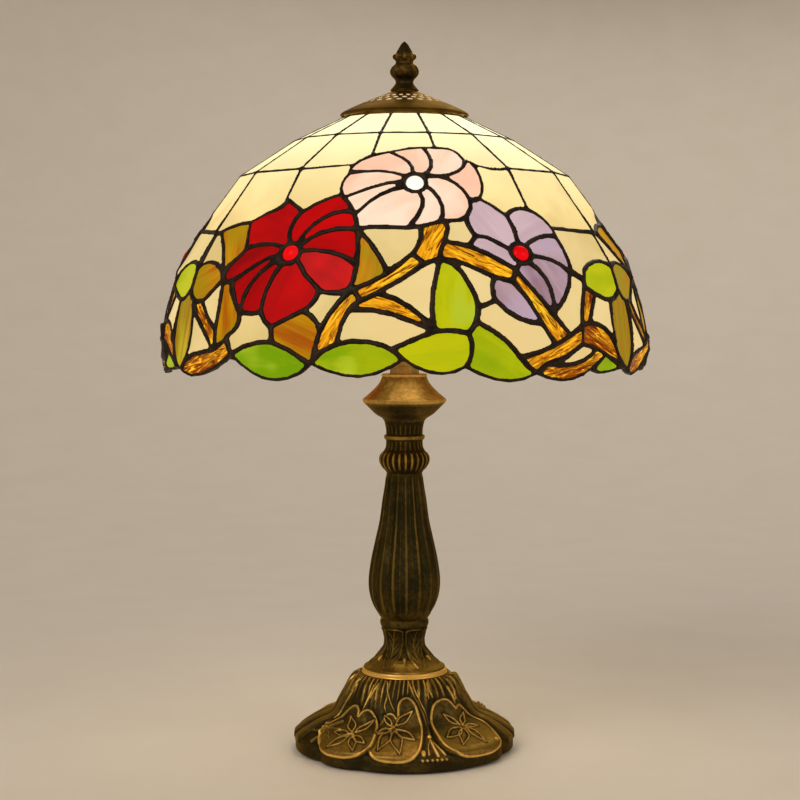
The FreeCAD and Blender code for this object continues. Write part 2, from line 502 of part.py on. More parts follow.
# The lead lines of one repeat, each through a few points (azimuth, distance down the shade).
# Two points make a straight line and more make a smooth one.
LEAD_LINES = [
    # courses and columns
    [(-60, 32), (60, 32)],
    [(-60, 73), (-36, 73)], [(-36, 73), (-16.4, 70.3)],
    [(21, 64), (25, 70.5), (36, 72.5)], [(36, 72.5), (60, 73)],
    [(-36, -1.3), (-36, 95.5)], [(-12, -1.3), (-12, 60)], [(12, -1.3), (12, 51)],
    [(36, -1.3), (36, 103)], [(60, -1.3), (60, 142.5)],
    [(-60, 118.5), (-57, 118)], [(42, 116), (60, 118)], [(60, 118), (76, 118.5)],
    # pink flower: its edge, then the swirl of lines between petals
    [(-18, 78), (-16, 66), (-11, 58.5), (-5.5, 55.5), (3, 51), (12, 50.5), (19, 53), (21.5, 64.5)],
    [(21.5, 64.5), (24.5, 77), (24, 88), (22, 95.5), (18.5, 97.5)],
    [(18.5, 97.5), (18, 104), (15.5, 110.5), (10, 112.5), (4, 116.5), (-5, 116.5), (-12, 118)],
    [(-12, 118), (-13.5, 107), (-17.5, 95.5)], [(-17.5, 95.5), (-19.5, 87), (-18, 78)],
    [(2.5, 79), (1.5, 67.5), (-1.5, 61), (-5.5, 56)], [(5, 80.5), (8.5, 72), (9, 60), (7, 50.5)],
    [(5.5, 81), (15, 77.5), (19, 72.5), (21.5, 64.5)], [(5.5, 82.5), (12.5, 81), (16, 86), (18.5, 97.5)],
    [(5.5, 86), (8.5, 92), (10, 99), (9, 112.5)], [(4, 91), (5, 99), (4, 106), (1, 116.5)],
    [(0.3, 88), (-4.5, 90.5), (-8.5, 95.5), (-13.2, 108)],
    [(-0.2, 85), (-5, 85), (-10.5, 88), (-17.5, 95.5)], [(0.8, 81.5), (-4, 77), (-9.5, 75), (-18, 77.5)],
    # red flower
    [(-42.3, 130.5), (-44, 121.5), (-45.5, 111.5), (-41, 105), (-35.5, 95.5)],
    [(-35.5, 95.5), (-29, 105)], [(-29, 105), (-25.5, 99), (-18.3, 93)],
    [(-12, 118), (-11, 132), (-11.2, 146), (-12.5, 155.5), (-16, 158), (-19.2, 156)],
    [(-12.6, 156), (-11, 156)],
    [(-19.2, 156), (-20, 162.5), (-24, 170), (-30, 177.5)], [(-30, 177.5), (-32.3, 173), (-33.2, 168.7)],
    [(-33.2, 168.7), (-36, 170), (-39.2, 168.3), (-42, 160), (-43.7, 151)],
    [(-43.7, 151), (-46.3, 150), (-46.7, 145.5), (-45, 138.5), (-42.3, 130.5)],
    [(-28.5, 128.5), (-30.4, 120), (-30.4, 113), (-29, 105)],
    [(-26.8, 128.5), (-25.4, 118.5), (-22.5, 110.5), (-13.5, 106.5)],
    [(-25.8, 129.5), (-23, 122.5), (-19, 118.5), (-12, 118)],
    [(-25.4, 133), (-20, 132.5), (-15.5, 135), (-11.1, 142)],
    [(-25.8, 138), (-23.5, 146), (-19.2, 156)], [(-29, 139.5), (-31, 146), (-32.5, 155), (-33.2, 168.7)],
    [(-30, 138), (-34.5, 144), (-37.5, 152.5), (-39.2, 168.3)],
    [(-30.5, 135.5), (-34.5, 137.5), (-38.3, 142.5), (-43.7, 151)],
    [(-30.5, 130), (-35, 127.5), (-39, 128), (-42.3, 130.5)],
    # lilac flower
    [(18.5, 97.5), (22.5, 96.5), (25.5, 102), (28.3, 107.8)],
    [(28.3, 107.8), (31, 103.5), (34.5, 102), (37.5, 104), (40.5, 111), (41.5, 122.5)],
    [(41.5, 122.5), (42.3, 131), (42.3, 139), (41.5, 146)],
    [(41.5, 146), (40.5, 153.5), (38.5, 160.5), (34.4, 169.5)],
    [(16.6, 108), (16.3, 116), (17.7, 122.8)], [(17.7, 122.8), (15.3, 129.5)],
    [(28.3, 107.8), (28.9, 118), (28.5, 128.5)], [(41.5, 122.5), (37.3, 121.8), (34, 124), (30.5, 129)],
    [(41.5, 146), (38.7, 140), (35.4, 137), (30.5, 136.2)],
    [(34.4, 169.5), (34.8, 157), (33.5, 148), (29.5, 139.5)],
    [(17.7, 122.8), (21, 124.3), (23.5, 128), (26.3, 132)], [(28, 139), (25.9, 144.7)],
    [(20.8, 147), (19.7, 152.5), (20, 161.5), (22.5, 168), (25.5, 172.5), (31, 175.5)],
    # rippled branches
    [(4, 116.5), (4, 122), (1.6, 134.8)], [(10.3, 112.5), (10.6, 120.3), (9.2, 128), (7.9, 138)],
    [(1.6, 134.8), (4.4, 141)], [(4.4, 141), (7.9, 138)],
    [(1.6, 134.8), (-3.8, 146), (-11.3, 156)], [(4.4, 141), (1.2, 146.5), (-5.4, 157), (-9.7, 162.5)],
    [(-11.3, 156), (-9.7, 162.5)], [(-11.3, 156), (-15.4, 166), (-17.7, 176), (-19.5, 196)],
    [(-9.7, 162.5), (-12.7, 170), (-13.8, 177.5), (-14.5, 187)],
    [(-6, 158), (-1, 162.5), (3, 170), (6.3, 178)],
    [(-11.5, 167.5), (-7.4, 167.2), (-3, 169.5), (6.3, 179.5)],
    [(9.2, 127), (15, 129.5), (19.7, 134.5), (25.9, 144.7)],
    [(7.9, 138), (11.3, 138.7), (15.4, 142.5), (24.7, 151)], [(25.9, 144.7), (24.7, 151)],
    [(25.9, 144.7), (31, 159.3), (33.8, 168.5), (38, 181.7)],
    [(24.7, 151), (29.6, 168), (31.2, 176), (33.7, 188)],
    [(25, 194.3), (29.5, 192), (34, 188), (42.2, 177)],
    [(29.2, 204), (32, 198.5), (36.2, 195.5), (41.8, 187.8)], [(42.2, 177), (41.8, 187.8)],
    [(32, 198.5), (36.4, 199.7), (41.4, 198.2), (46.1, 190.3)],
    [(29.2, 204), (36.3, 208.8), (40.8, 207.8), (45, 203), (49.9, 193.8)],
    [(42.2, 177), (48, 176.4), (52, 181.6), (54.4, 189.5)],
    [(41.8, 187.8), (46.1, 190.3), (49.9, 193.8), (58, 203)],
    [(-60, 202.5), (-57, 196.5), (-51, 193), (-42, 184)], [(-42, 184), (-40.3, 193.5)],
    [(-60.5, 204.5), (-57.5, 207.5), (-54.4, 207.5), (-49, 204.5), (-40.3, 193.5)],
    # leaves along the rim and the upright leaf
    [(-40.3, 193.5), (-35, 187.4), (-29, 186.6), (-24.3, 191.8), (-20.1, 198.3)],
    [(-40.3, 193.5), (-36.4, 202.2), (-31.4, 207.7), (-26.6, 207.4), (-20.1, 198.3)],
    [(-20.1, 198.3), (-16, 188.4), (-11.2, 185.1), (-6, 186.1), (-0.4, 195.5)],
    [(-20.1, 198.3), (-15.4, 203.3), (-9.2, 205.3), (-3.2, 200.3), (-0.4, 195.5)],
    [(-3, 189.5), (2, 184), (6.3, 179.5), (10, 179), (13.4, 180.5)],
    [(-0.4, 195.5), (1.2, 198.5), (4.1, 202), (8.5, 203.6), (12.7, 199.8)],
    [(13.4, 180.5), (14.2, 189), (12.7, 199.8)],
    [(15, 174), (17.7, 177.7), (21, 183), (25, 194.3), (29.2, 204)],
    [(12.7, 199.8), (16.4, 204.4), (21.2, 208), (25.7, 207.5), (29.2, 204)],
    [(7.9, 138), (7.2, 148), (6, 158), (5.8, 169), (6.3, 178.5)],
    [(7.9, 138), (11.8, 142.6), (14.1, 151.6), (15.7, 161), (15.8, 168), (13.4, 180.5)],
    [(15.9, 166.3), (20.3, 162)], [(45, 203), (48.5, 205.4), (53, 204.7), (58, 203)],
    # streaky leaves round the red flower
    [(-45.5, 111.5), (-52, 113), (-57.5, 118)], [(-57.5, 118), (-53.3, 127), (-49.7, 137), (-46.8, 147)],
    [(-46.6, 149.5), (-46.3, 166), (-46.3, 177.7), (-45.6, 190)],
    [(-43.8, 150.5), (-42, 161), (-39.1, 171.8), (-41.7, 182.6)], [(-30, 177.5), (-29.3, 186.6)],
    [(-22.9, 168), (-20.2, 171.5), (-18.3, 180)], [(-12, 118), (-7.8, 129), (-4, 146.5)],
    # bud, its stalk and its two stems
    [(45.4, 154.3), (46.3, 146), (50.5, 139.8), (55.5, 138), (60, 142.5)],
    [(45.4, 154.3), (49.5, 158.8), (54, 161.9), (60, 156.5)], [(60, 142.5), (60, 156.5)],
    [(54.8, 161.5), (54, 174), (54.3, 189), (59.5, 204.5)],
    [(41.7, 145.5), (45.7, 150.8)], [(45.3, 154.3), (43.2, 168.3), (42.4, 177)],
    [(49, 158.4), (46.5, 168.4), (44.6, 176.3)],
    [(-56.8, 162.6), (-54.8, 171.6), (-50.7, 180.5), (-47.2, 189.8)],
    [(-53.5, 162.3), (-50, 172.7), (-46.3, 180)],
]

# Lines that cross the repeat line, drawn again one repeat further round to close the stalk there
BUD_SIDE_LINES = [
    [(-60, 142.5), (-56, 138.5), (-52, 139.8), (-48.5, 144.5), (-46.8, 150)],
    [(-46.8, 150), (-49.5, 155), (-53.2, 162.4), (-57, 162.6), (-60, 156.5)],
    [(-57.2, 162.5), (-56.3, 173), (-56.6, 189), (-60.5, 204.5)],
]

JEWELS = {"white_jewels": [(3, 85)], "red_jewels": [(-28, 134.1), (28.4, 134.1)]}
JEWEL_SHOULDER = (0.68, 0.7)    # where a jewel's dome passes, as shares of its radius and rise
JEWEL_CROWN = 0.2               # share of its radius that is flat on top

# One point inside each piece of glass of a repeat, by the node it belongs to
PIECES = {
    "first_course_glass": [(-48, 16), (-24, 16), (0, 16), (24, 16), (48, 16)],
    "second_course_glass": [(-48, 52), (-24, 45), (0, 42), (26, 50), (48, 52)],
    "third_course_glass": [(-48, 92), (-27, 85), (30, 86), (48, 95)],
    "ground_glass": [
        (-57, 130), (52, 128), (-4, 125), (13, 122), (2, 155), (-8, 177), (-18.5, 164), (-37, 180),
        (-54, 187), (-48.5, 165), (17.5, 153), (25.5, 182), (40.5, 194), (40, 170), (50, 168)],
    "pink_petals": [
        (3, 60), (14, 62), (20.5, 80), (13, 98), (6.5, 106), (-4, 105), (-12.5, 96), (-13, 82),
        (-10, 66)],
    "red_petals": [
        (-37, 115), (-25.5, 106), (-17, 112), (-16, 127), (-16, 147), (-27, 158), (-35.5, 160),
        (-40.5, 156), (-39, 135)],
    "lilac_petals": [(22, 110), (35, 112), (37, 130), (38, 153), (32, 153), (20.5, 130), (24, 160)],
    "green_leaves": [(-30, 197), (-10, 195), (8, 192), (20, 195), (10.5, 162), (51, 200), (53, 150)],
    "amber_leaves": [(-50, 122), (-44, 168), (-23.5, 178), (-8.5, 140), (-54, 150)],
    "bud_stalks": [(60.5, 180)],
    "branch_glass": [
        (6, 125), (-4.5, 151.5), (-15.8, 178), (0, 168), (17, 137.5), (30, 162), (34, 192.5), (40, 203),
        (49, 185), (-52, 200), (-51, 175), (45.3, 165)],
}
GRID_NODES = ("first_course_glass", "second_course_glass", "third_course_glass")


def shade_profile():
    """Corners of the shade's section as (distance down the shade, radius, height)."""
    corners = [(number(name + "Radius"), number(name + "Height"))
               for name in ("Aperture", "CourseOne", "CourseTwo", "CourseThree")]
    girth = number("ShadeRadius")
    level = number("GirthHeight")
    corners += [(girth + out, level + up) for out, up in LOWER_SECTION]
    down = APERTURE_LINE
    profile = [(down, *corners[0])]
    for before, after in zip(corners, corners[1:]):
        down += math.dist(before, after)
        profile.append((down, *after))
    return profile


def section_at(profile, down):
    for (low, radius_a, height_a), (high, radius_b, height_b) in zip(profile, profile[1:]):
        if down <= high or high == profile[-1][0]:
            share = (down - low) / (high - low)
            return (radius_a + share * (radius_b - radius_a), height_a + share * (height_b - height_a))


def shade_point(profile, azimuth, down, flatness):
    """Point of the shade's outer face. Flatness 1 puts it on the flat facet of its column."""
    radius, height = section_at(profile, down)
    fade = min(1, max(0, 1 - (down - COURSE_THREE) / FACET_FADE))
    half = COLUMN_TURN / 2
    off_centre = (azimuth + half) % COLUMN_TURN - half
    facet = math.cos(math.radians(half)) / math.cos(math.radians(off_centre))
    share = flatness * fade
    return on_axis(azimuth, radius * (1 - share + share * facet * FACET_SWELL), height)


def chart(azimuth, down):
    return Vector(azimuth * CHART_SCALE, -down, 0)


def lead_line(points):
    """Edge on the chart through the points, run on past both ends."""
    places = [chart(*point) for point in points]
    curve = Part.LineSegment(places[0], places[-1])
    if len(places) > 2:
        curve = Part.BSplineCurve()
        curve.interpolate(places)
    first = (curve.tangent(curve.FirstParameter)[0]).normalize()
    last = (curve.tangent(curve.LastParameter)[0]).normalize()
    return [curve.toShape(), Part.makeLine(places[0] - first * OVERRUN, places[0]),
            Part.makeLine(places[-1], places[-1] + last * OVERRUN)]


def jewel_line(profile, azimuth, down):
    """Closed line round a jewel, drawn so that it is round on the shade itself."""
    radius = number("JewelRadius")
    degrees = math.degrees(radius / section_at(profile, down)[0])
    circle = Part.BSplineCurve()
    turns = [math.radians(30 * step) for step in range(12)]
    circle.interpolate([chart(azimuth + degrees * math.cos(turn), down + radius * math.sin(turn))
                        for turn in turns], PeriodicFlag=True)
    return [circle.toShape()]


def chart_cells(profile):
    """All the faces that the lead lines cut the chart into."""
    edges = []
    further = [[(azimuth + REPEAT_TURN, down) for azimuth, down in line] for line in BUD_SIDE_LINES]
    for line in LEAD_LINES + BUD_SIDE_LINES + further:
        edges += lead_line(line)
    for places in JEWELS.values():
        for place in places:
            edges += jewel_line(profile, *place)
    corners = [chart(-60, APERTURE_LINE), chart(CHART_END, APERTURE_LINE),
               chart(CHART_END, RIM_LIMIT), chart(-60, RIM_LIMIT)]
    sheet = Part.Face(Part.makePolygon(corners + corners[:1]))
    pieces, _ = sheet.generalFuse(edges)
    return pieces.Faces


def cell_outline(face):
    """Corners of a cell as (azimuth, distance down), close enough to follow its curves."""
    outline = []
    for edge in face.OuterWire.OrderedEdges:
        places = edge.discretize(Deflection=0.25)
        if edge.Orientation == "Reversed":
            places.reverse()
        outline += [place for place in places[:-1]
                    if not outline or place.distanceToPoint(outline[-1]) > 0.5]
    if outline[-1].distanceToPoint(outline[0]) < 0.5:
        outline.pop()
    return [(place.x / CHART_SCALE, -place.y) for place in outline]


def flat_face(corners):
    """Best flat face through nearly flat corners, and its normal pointing out of the shade."""
    centre = sum(corners, Vector()) * (1 / len(corners))
    normal = Vector()
    for corner, following in zip(corners, corners[1:] + corners[:1]):
        normal += (corner - centre).cross(following - centre)
    normal.normalize()
    if normal.dot(Vector(centre.x, centre.y, 0)) < 0:
        normal = -normal
    flat = [corner - normal * normal.dot(corner - centre) for corner in corners]
    return Part.Face(Part.makePolygon(flat + flat[:1])), normal


def inset_face(face, distance):
    """The largest part of a face that stays this far inside its outline.

    Sharp corners first. Rounded ones serve where the outline has a very short edge.
    """
    for corner_style in (2, 0):
        try:
            wires = face.makeOffset2D(-distance, join=corner_style).Wires
        except ValueError:
            continue
        return max((Part.Face(wire) for wire in wires), key=lambda item: item.Area)
    raise ValueError("no inset found")


def glass_and_came(profile, face, flatness, came_width):
    """One flat piece of glass and the came round it."""
    corners = [shade_point(profile, azimuth, down, flatness) for azimuth, down in cell_outline(face)]
    cell, normal = flat_face(corners)
    window = inset_face(cell, came_width)
    thickness = number("GlassThickness")
    proud = number("CameProud")
    glass = window.extrude(normal * -thickness)
    border = cell.cut(window)
    border.translate(normal * proud)
    return glass, border.extrude(normal * -(thickness + 2 * proud)), window, normal


def jewel(window, normal):
    """Domed cabochon that fills its round window."""
    centre = window.CenterOfMass
    radius = min(vertex.Point.distanceToPoint(centre) for vertex in window.Vertexes)
    rise = number("JewelRise")
    depth = number("GlassThickness")
    back = Vector(0, 0, -depth)
    rim = Vector(radius, 0, 0)
    shoulder = Vector(radius * JEWEL_SHOULDER[0], 0, rise * JEWEL_SHOULDER[1])
    crown = Vector(radius * JEWEL_CROWN, 0, rise)
    top = Vector(0, 0, rise)
    outline = [Part.makeLine(top, back), Part.makeLine(back, back + rim),
               Part.makeLine(back + rim, rim), Part.Arc(rim, shoulder, crown).toShape(),
               Part.makeLine(crown, top)]
    cabochon = Part.Face(Part.Wire(outline)).revolve(Vector(), Vector(0, 0, 1), 360)
    cabochon.Placement = FreeCAD.Placement(centre, FreeCAD.Rotation(Vector(0, 0, 1), normal))
    return cabochon


def find_cell(cells, place):
    spot = chart(*place)
    found = [face for face in cells if face.isInside(spot, 1e-4, True)]
    if len(found) != 1:
        raise ValueError(f"no single cell at {place}")
    return found[0]


def repeated(shapes):
    copies = []
    for turn in range(0, 360, REPEAT_TURN):
        for shape in shapes:
            copy = shape.copy()
            copy.rotate(Vector(), Vector(0, 0, 1), turn)
            copies.append(copy)
    return Part.makeCompound(copies)


def shade_group():
    profile = shade_profile()
    cells = chart_cells(profile)
    came = []
    for node, places in {**PIECES, **JEWELS}.items():
        in_grid = node in GRID_NODES
        flatness = 1 if in_grid else 0.5
        width = number("GridCame" if in_grid else "FloralCame")
        pieces = []
        for place in places:
            cell = find_cell(cells, place)
            glass, border, window, normal = glass_and_came(profile, cell, flatness, width)
            pieces.append(jewel(window, normal) if node in JEWELS else glass)
            came.append(border)
        holder = DOC.addObject("Part::Feature", node)
        holder.Shape = repeated(pieces)
        subpart(node, holder)
    holder = DOC.addObject("Part::Feature", "Came")
    holder.Shape = repeated(came)
    subpart("solder_came", holder)


# ---------------------------------------------------------------- build, check, export

def faults():
    found = []
    for item in DOC.Objects:
        if "Invalid" in item.State or "Error" in item.State:
            found.append(f"{item.Name}: {item.State}")
    for item in SUBPARTS:
        if item.Shape.isNull() or not item.Shape.isValid():
            found.append(f"{item.Label}: shape is null or not valid")
    return found


fill_sheet()
foot_group()
column_group()
lampholder_group()
bulb_group()
fixing_group()
shade_group()
DOC.recompute()
problems = faults()
if problems:
    raise RuntimeError("; ".join(problems))
os.makedirs("parts", exist_ok=True)
for item in SUBPARTS:
    item.Shape.exportStep(os.path.join("parts", item.Label + ".step"))
    print(item.Label, "solids", len(item.Shape.Solids), "volume", round(item.Shape.Volume))
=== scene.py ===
"""Looks of the leaded glass table lamp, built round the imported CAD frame. Metres, +Z up, front -Y.

Relief is worked out in millimetres on an unrolled surface: azimuth in degrees from the front
(positive towards +X) against distance down a turned profile.
"""
import math

import bmesh
import bpy
import numpy as np
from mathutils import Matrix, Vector


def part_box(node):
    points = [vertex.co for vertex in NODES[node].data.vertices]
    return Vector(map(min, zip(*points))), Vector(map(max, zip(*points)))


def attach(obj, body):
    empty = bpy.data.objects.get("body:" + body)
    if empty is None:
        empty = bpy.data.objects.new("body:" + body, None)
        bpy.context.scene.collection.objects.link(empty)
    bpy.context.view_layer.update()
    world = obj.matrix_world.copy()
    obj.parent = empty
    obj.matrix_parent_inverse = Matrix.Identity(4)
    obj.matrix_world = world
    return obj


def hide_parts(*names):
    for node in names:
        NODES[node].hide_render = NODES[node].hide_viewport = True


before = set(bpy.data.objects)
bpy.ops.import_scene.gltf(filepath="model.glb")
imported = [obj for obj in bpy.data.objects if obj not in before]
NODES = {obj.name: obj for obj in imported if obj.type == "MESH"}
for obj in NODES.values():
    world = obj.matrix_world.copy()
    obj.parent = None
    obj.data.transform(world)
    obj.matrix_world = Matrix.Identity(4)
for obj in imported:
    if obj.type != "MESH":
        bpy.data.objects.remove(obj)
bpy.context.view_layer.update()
MM = 0.001


# -------- node materials

def rgb(red, green, blue):
    """Linear colour with alpha from ordinary 0 to 255 screen values."""
    return tuple(((value / 255 + 0.055) / 1.055) ** 2.4 if value > 10 else value / 255 / 12.92
                 for value in (red, green, blue)) + (1.0,)


class Shader:
    """Adds nodes to a material and links them."""

    def __init__(self, name):
        self.material = bpy.data.materials.new(name)
        self.material.use_nodes = True
        self.tree = self.material.node_tree
        self.tree.nodes.clear()
        self.output = self.add("OutputMaterial")

    def add(self, kind, inputs=None, **settings):
        """New node. Inputs go by name or number."""
        node = self.tree.nodes.new("ShaderNode" + kind)
        for key, value in settings.items():
            setattr(node, key, value)
        for key, value in (inputs or {}).items():
            self.feed(node.inputs[key], value)
        return node

    def feed(self, socket, value):
        """Link a node's output to a socket, or set it. Colours are 0 to 255 screen values."""
        if isinstance(value, bpy.types.NodeSocket):
            self.tree.links.new(value, socket)
        elif value is not None:
            socket.default_value = rgb(*value) if socket.type == "RGBA" else value

    def math(self, operation, first, second=None, clamp=False):
        return self.add("Math", {0: first, 1: second}, operation=operation, use_clamp=clamp).outputs[0]

    def vector(self, operation, first, second=None):
        """Vector maths; a length, distance or dot product comes out as a plain number."""
        number = operation in ("LENGTH", "DISTANCE", "DOT_PRODUCT")
        node = self.add("VectorMath", {0: first, 1: second}, operation=operation)
        return node.outputs["Value" if number else "Vector"]

    def ramp(self, value, low, high, low_out=0.0, high_out=1.0, eased=True):
        inputs = {"Value": value, "From Min": low, "From Max": high, "To Min": low_out, "To Max": high_out}
        curve = "SMOOTHSTEP" if eased else "LINEAR"
        return self.add("MapRange", inputs, interpolation_type=curve).outputs[0]

    def mix(self, factor, first, second):
        """Mix of two colours. The node's sockets 6, 7 and 2 are the ones for colours."""
        return self.add("Mix", {0: factor, 6: first, 7: second}, data_type="RGBA").outputs[2]

    def place(self):
        """Position in the object's own frame, which stays with the piece as it moves."""
        return self.add("TexCoord").outputs["Object"]

    def stretch(self, vector, scale):
        return self.add("Mapping", {"Vector": vector, "Scale": scale}).outputs[0]

    def noise(self, vector, scale, detail=3.0, rough=0.55, warp=0.0):
        return self.add("TexNoise", {"Vector": vector, "Scale": scale, "Detail": detail,
                                     "Roughness": rough, "Distortion": warp}).outputs[0]

    def bump(self, height, strength, distance):
        inputs = {"Height": height, "Strength": strength, "Distance": distance}
        return self.add("Bump", inputs).outputs[0]

    def surface(self, **inputs):
        """Principled surface. Input names are written with underscores for spaces."""
        inputs = {key.replace("_", " "): value for key, value in inputs.items()}
        node = self.add("BsdfPrincipled", inputs)
        self.tree.links.new(node.outputs[0], self.output.inputs[0])


def bronze(name, rubbed=None, tone=(1, 1, 1), patchy=1.0):
    """Antique bronze paint: dark in the hollows, gold where it is rubbed.

    Rubbed is the mesh's attribute for that, tone multiplies red, green and blue, and patchy is how
    strongly grime varies the rubbing.
    """
    shader = Shader(name)
    place = shader.place()
    grime = shader.noise(place, 55, 5, 0.6)
    fine = shader.noise(place, 420, 3, 0.6)
    if rubbed is None:
        rub = shader.ramp(grime, 0.36, 0.68, 0.3, 0.55)
    else:
        attribute = shader.add("Attribute", attribute_name=rubbed).outputs["Fac"]
        worn = shader.math("ADD", attribute, shader.ramp(grime, 0.3, 0.7, -0.12 * patchy, 0.16 * patchy))
        rub = shader.math("ADD", worn, shader.ramp(fine, 0.3, 0.7, -0.06, 0.06), clamp=True)

    def paint(red, green, blue):
        return red * tone[0], green * tone[1], blue * tone[2]

    dark = shader.mix(grime, paint(30, 27, 14), paint(54, 48, 24))
    brown = shader.mix(grime, paint(100, 78, 30), paint(120, 94, 38))
    gold = shader.mix(grime, paint(196, 152, 64), paint(222, 180, 90))
    colour = shader.mix(shader.ramp(rub, 0.05, 0.5), dark, brown)
    colour = shader.mix(shader.ramp(rub, 0.5, 1.0), colour, gold)
    shader.surface(Base_Color=colour, Metallic=0.82, Roughness=shader.ramp(rub, 0.0, 1.0, 0.5, 0.36),
                   Specular_IOR_Level=0.2, Specular_Tint=(255, 220, 160),
                   Normal=shader.bump(fine, 0.25, 0.0004))
    return shader.material


def metal(name, light, dark, rough=0.3, brushed=(1, 1, 1), metallic=1.0):
    """Plated or brushed metal with slight stains."""
    shader = Shader(name)
    place = shader.place()
    stain = shader.noise(place, 90, 4, 0.6)
    lines = shader.noise(shader.stretch(place, brushed), 700, 2, 0.5)
    colour = shader.mix(shader.ramp(stain, 0.35, 0.7), light, dark)
    shader.surface(Base_Color=colour, Metallic=metallic,
                   Roughness=shader.ramp(stain, 0.3, 0.7, rough, rough + 0.15),
                   Normal=shader.bump(lines, 0.12, 0.0003))
    return shader.material


def plain(name, light, dark, rough=0.5, scale=200, bump=0.2):
    """Non-metal with mottled colour and a little texture."""
    shader = Shader(name)
    place = shader.place()
    mottle = shader.noise(place, scale, 4, 0.6)
    shader.surface(Base_Color=shader.mix(shader.ramp(mottle, 0.35, 0.65), light, dark),
                   Roughness=shader.ramp(mottle, 0.3, 0.7, rough, min(1, rough + 0.15)),
                   Normal=shader.bump(shader.noise(place, scale * 6, 2), bump, 0.0004))
    return shader.material


BULB = (0.0, 0.0, 0.346)    # middle of the lit bulb
NEAR_GLASS, FAR_GLASS = 0.06, 0.18    # from the bulb to the top of the shade and to its rim
GLOW_BRIGHTEST, GLOW_FADED = 0.065, 0.12    # between these distances from the bulb the painted glow fades from its brightest colour to the glass's own colour


def glow(shader, near, far):
    """Painted glow of the glass lit by the bulb, by its distance and facing, and how near it is to the
    bulb, from 1 at the top of the shade to 0.
    """
    coordinates = shader.add("TexCoord")
    away = shader.vector("SUBTRACT", coordinates.outputs["Object"], BULB)
    distance = shader.vector("LENGTH", away)
    towards = shader.vector("NORMALIZE", away)
    facing = shader.vector("DOT_PRODUCT", coordinates.outputs["Normal"], towards)
    slant = shader.ramp(shader.math("ABSOLUTE", facing), 0.2, 1.0, 0.86, 1.0)
    level = shader.ramp(distance, NEAR_GLASS, FAR_GLASS, near, far, False)
    closeness = shader.ramp(distance, GLOW_BRIGHTEST, GLOW_FADED, 1.0, 0.0, False)
    return shader.math("MULTIPLY", level, slant), closeness


def pane(name, dark, pale, patch, near, far, close=None, grain=(14, 80, 1), streak=0.5, rough=0.3,
         ripple=0.0):
    """Art glass with the bulb's light painted on as an emission glow. Each piece has a tone from dark to
    pale, streaks along it and patches.

    The painted glow falls from near to far with the distance from the bulb, and close is the colour of
    the brightest glow, nearest the bulb. Grain is how fine the streaks are along and across the piece.
    """
    shader = Shader(name)
    along = shader.add("Attribute", attribute_name="grain").outputs["Vector"]
    tone = shader.add("Attribute", attribute_name="tone").outputs["Fac"]
    wisps = shader.noise(shader.stretch(along, grain), 1.0, 4, 0.55, 0.5)
    clouds = shader.noise(along, 24, 2, 0.5)
    share = shader.math("ADD", tone, shader.ramp(wisps, 0.3, 0.7, -streak, streak), clamp=True)
    colour = shader.mix(share, dark, pale)
    spots = shader.ramp(shader.math("ADD", clouds, shader.math("MULTIPLY", wisps, 0.35)), 0.66, 0.86)
    colour = shader.mix(spots, colour, patch)
    level, closeness = glow(shader, near, far)
    if close is not None:
        colour = shader.mix(closeness, colour, close)
    level = shader.math("MULTIPLY", level, shader.ramp(clouds, 0.3, 0.7, 0.95, 1.05))
    normal = shader.bump(clouds, 0.1, 0.002)
    if ripple:
        # ripple crests painted bright and troughs dark: partly the glass's own streaks, partly painted
        # highlight and shade of the rippled glass
        ripples = shader.noise(shader.stretch(along, (70, 420, 1)), 1.0, 5, 0.6, 1.6)
        colour = shader.mix(shader.ramp(ripples, 0.52, 0.68), colour, patch)
        colour = shader.mix(shader.ramp(ripples, 0.48, 0.36), colour, (120, 46, 2))
        level = shader.math("MULTIPLY", level, shader.ramp(ripples, 0.36, 0.7, 0.6, 1.25))
        normal = shader.bump(ripples, ripple, 0.0015)
    # the bulb's light through the glass is painted as emission
    shader.surface(Base_Color=shader.mix(0.88, colour, (10, 9, 8)), Roughness=rough, Normal=normal,
                   Specular_IOR_Level=0.05, Emission_Color=colour, Emission_Strength=level)
    return shader.material


def dress(data, material):
    data.materials.clear()
    data.materials.append(material)


def assign(material, *names):
    for name in names:
        dress(NODES[name].data, material)


# -------- relief on turned surfaces

def spline(points, closed=False, steps=8):
    """Smooth line through the points."""
    places = np.array(points, float)
    if closed:
        places = np.vstack([places[-1], places, places[:2]])
    else:
        places = np.vstack([2 * places[0] - places[1], places, 2 * places[-1] - places[-2]])
    line = []
    for before, start, end, after in zip(places, places[1:], places[2:], places[3:]):
        for share in np.arange(steps) / steps:
            line.append(0.5 * (2 * start + (end - before) * share
                               + (2 * before - 5 * start + 4 * end - after) * share ** 2
                               + (3 * start - before - 3 * end + after) * share ** 3))
    line.append(places[-2])
    return np.array(line)


def profile(runs, step):
    """Even points along runs of (radius, height); each run is smooth and runs meet at corners."""
    corners = []
    for run in runs:
        line = spline(run) if len(run) > 2 else np.array(run, float)
        corners.append(line if not corners else line[1:])
    line = np.vstack(corners)
    lengths = np.concatenate([[0], np.cumsum(np.linalg.norm(np.diff(line, axis=0), axis=1))])
    count = max(2, int(round(lengths[-1] / step)) + 1)
    down = np.linspace(0, lengths[-1], count)
    radius, level = (np.interp(down, lengths, line[:, axis]) for axis in (0, 1))
    return np.column_stack([radius, level]), down


def sine(degrees):
    return np.sin(np.radians(degrees))


def cosine(degrees):
    return np.cos(np.radians(degrees))


def smooth(value, low, high):
    """Rise from 0 to 1 between low and high, level at both ends."""
    share = np.clip((value - low) / (high - low), 0, 1)
    return share * share * (3 - 2 * share)


def between(value, start, full, end, gone):
    """Rise from 0 at start to 1 at full, and fall again from end to gone."""
    return smooth(value, start, full) * (1 - smooth(value, end, gone))


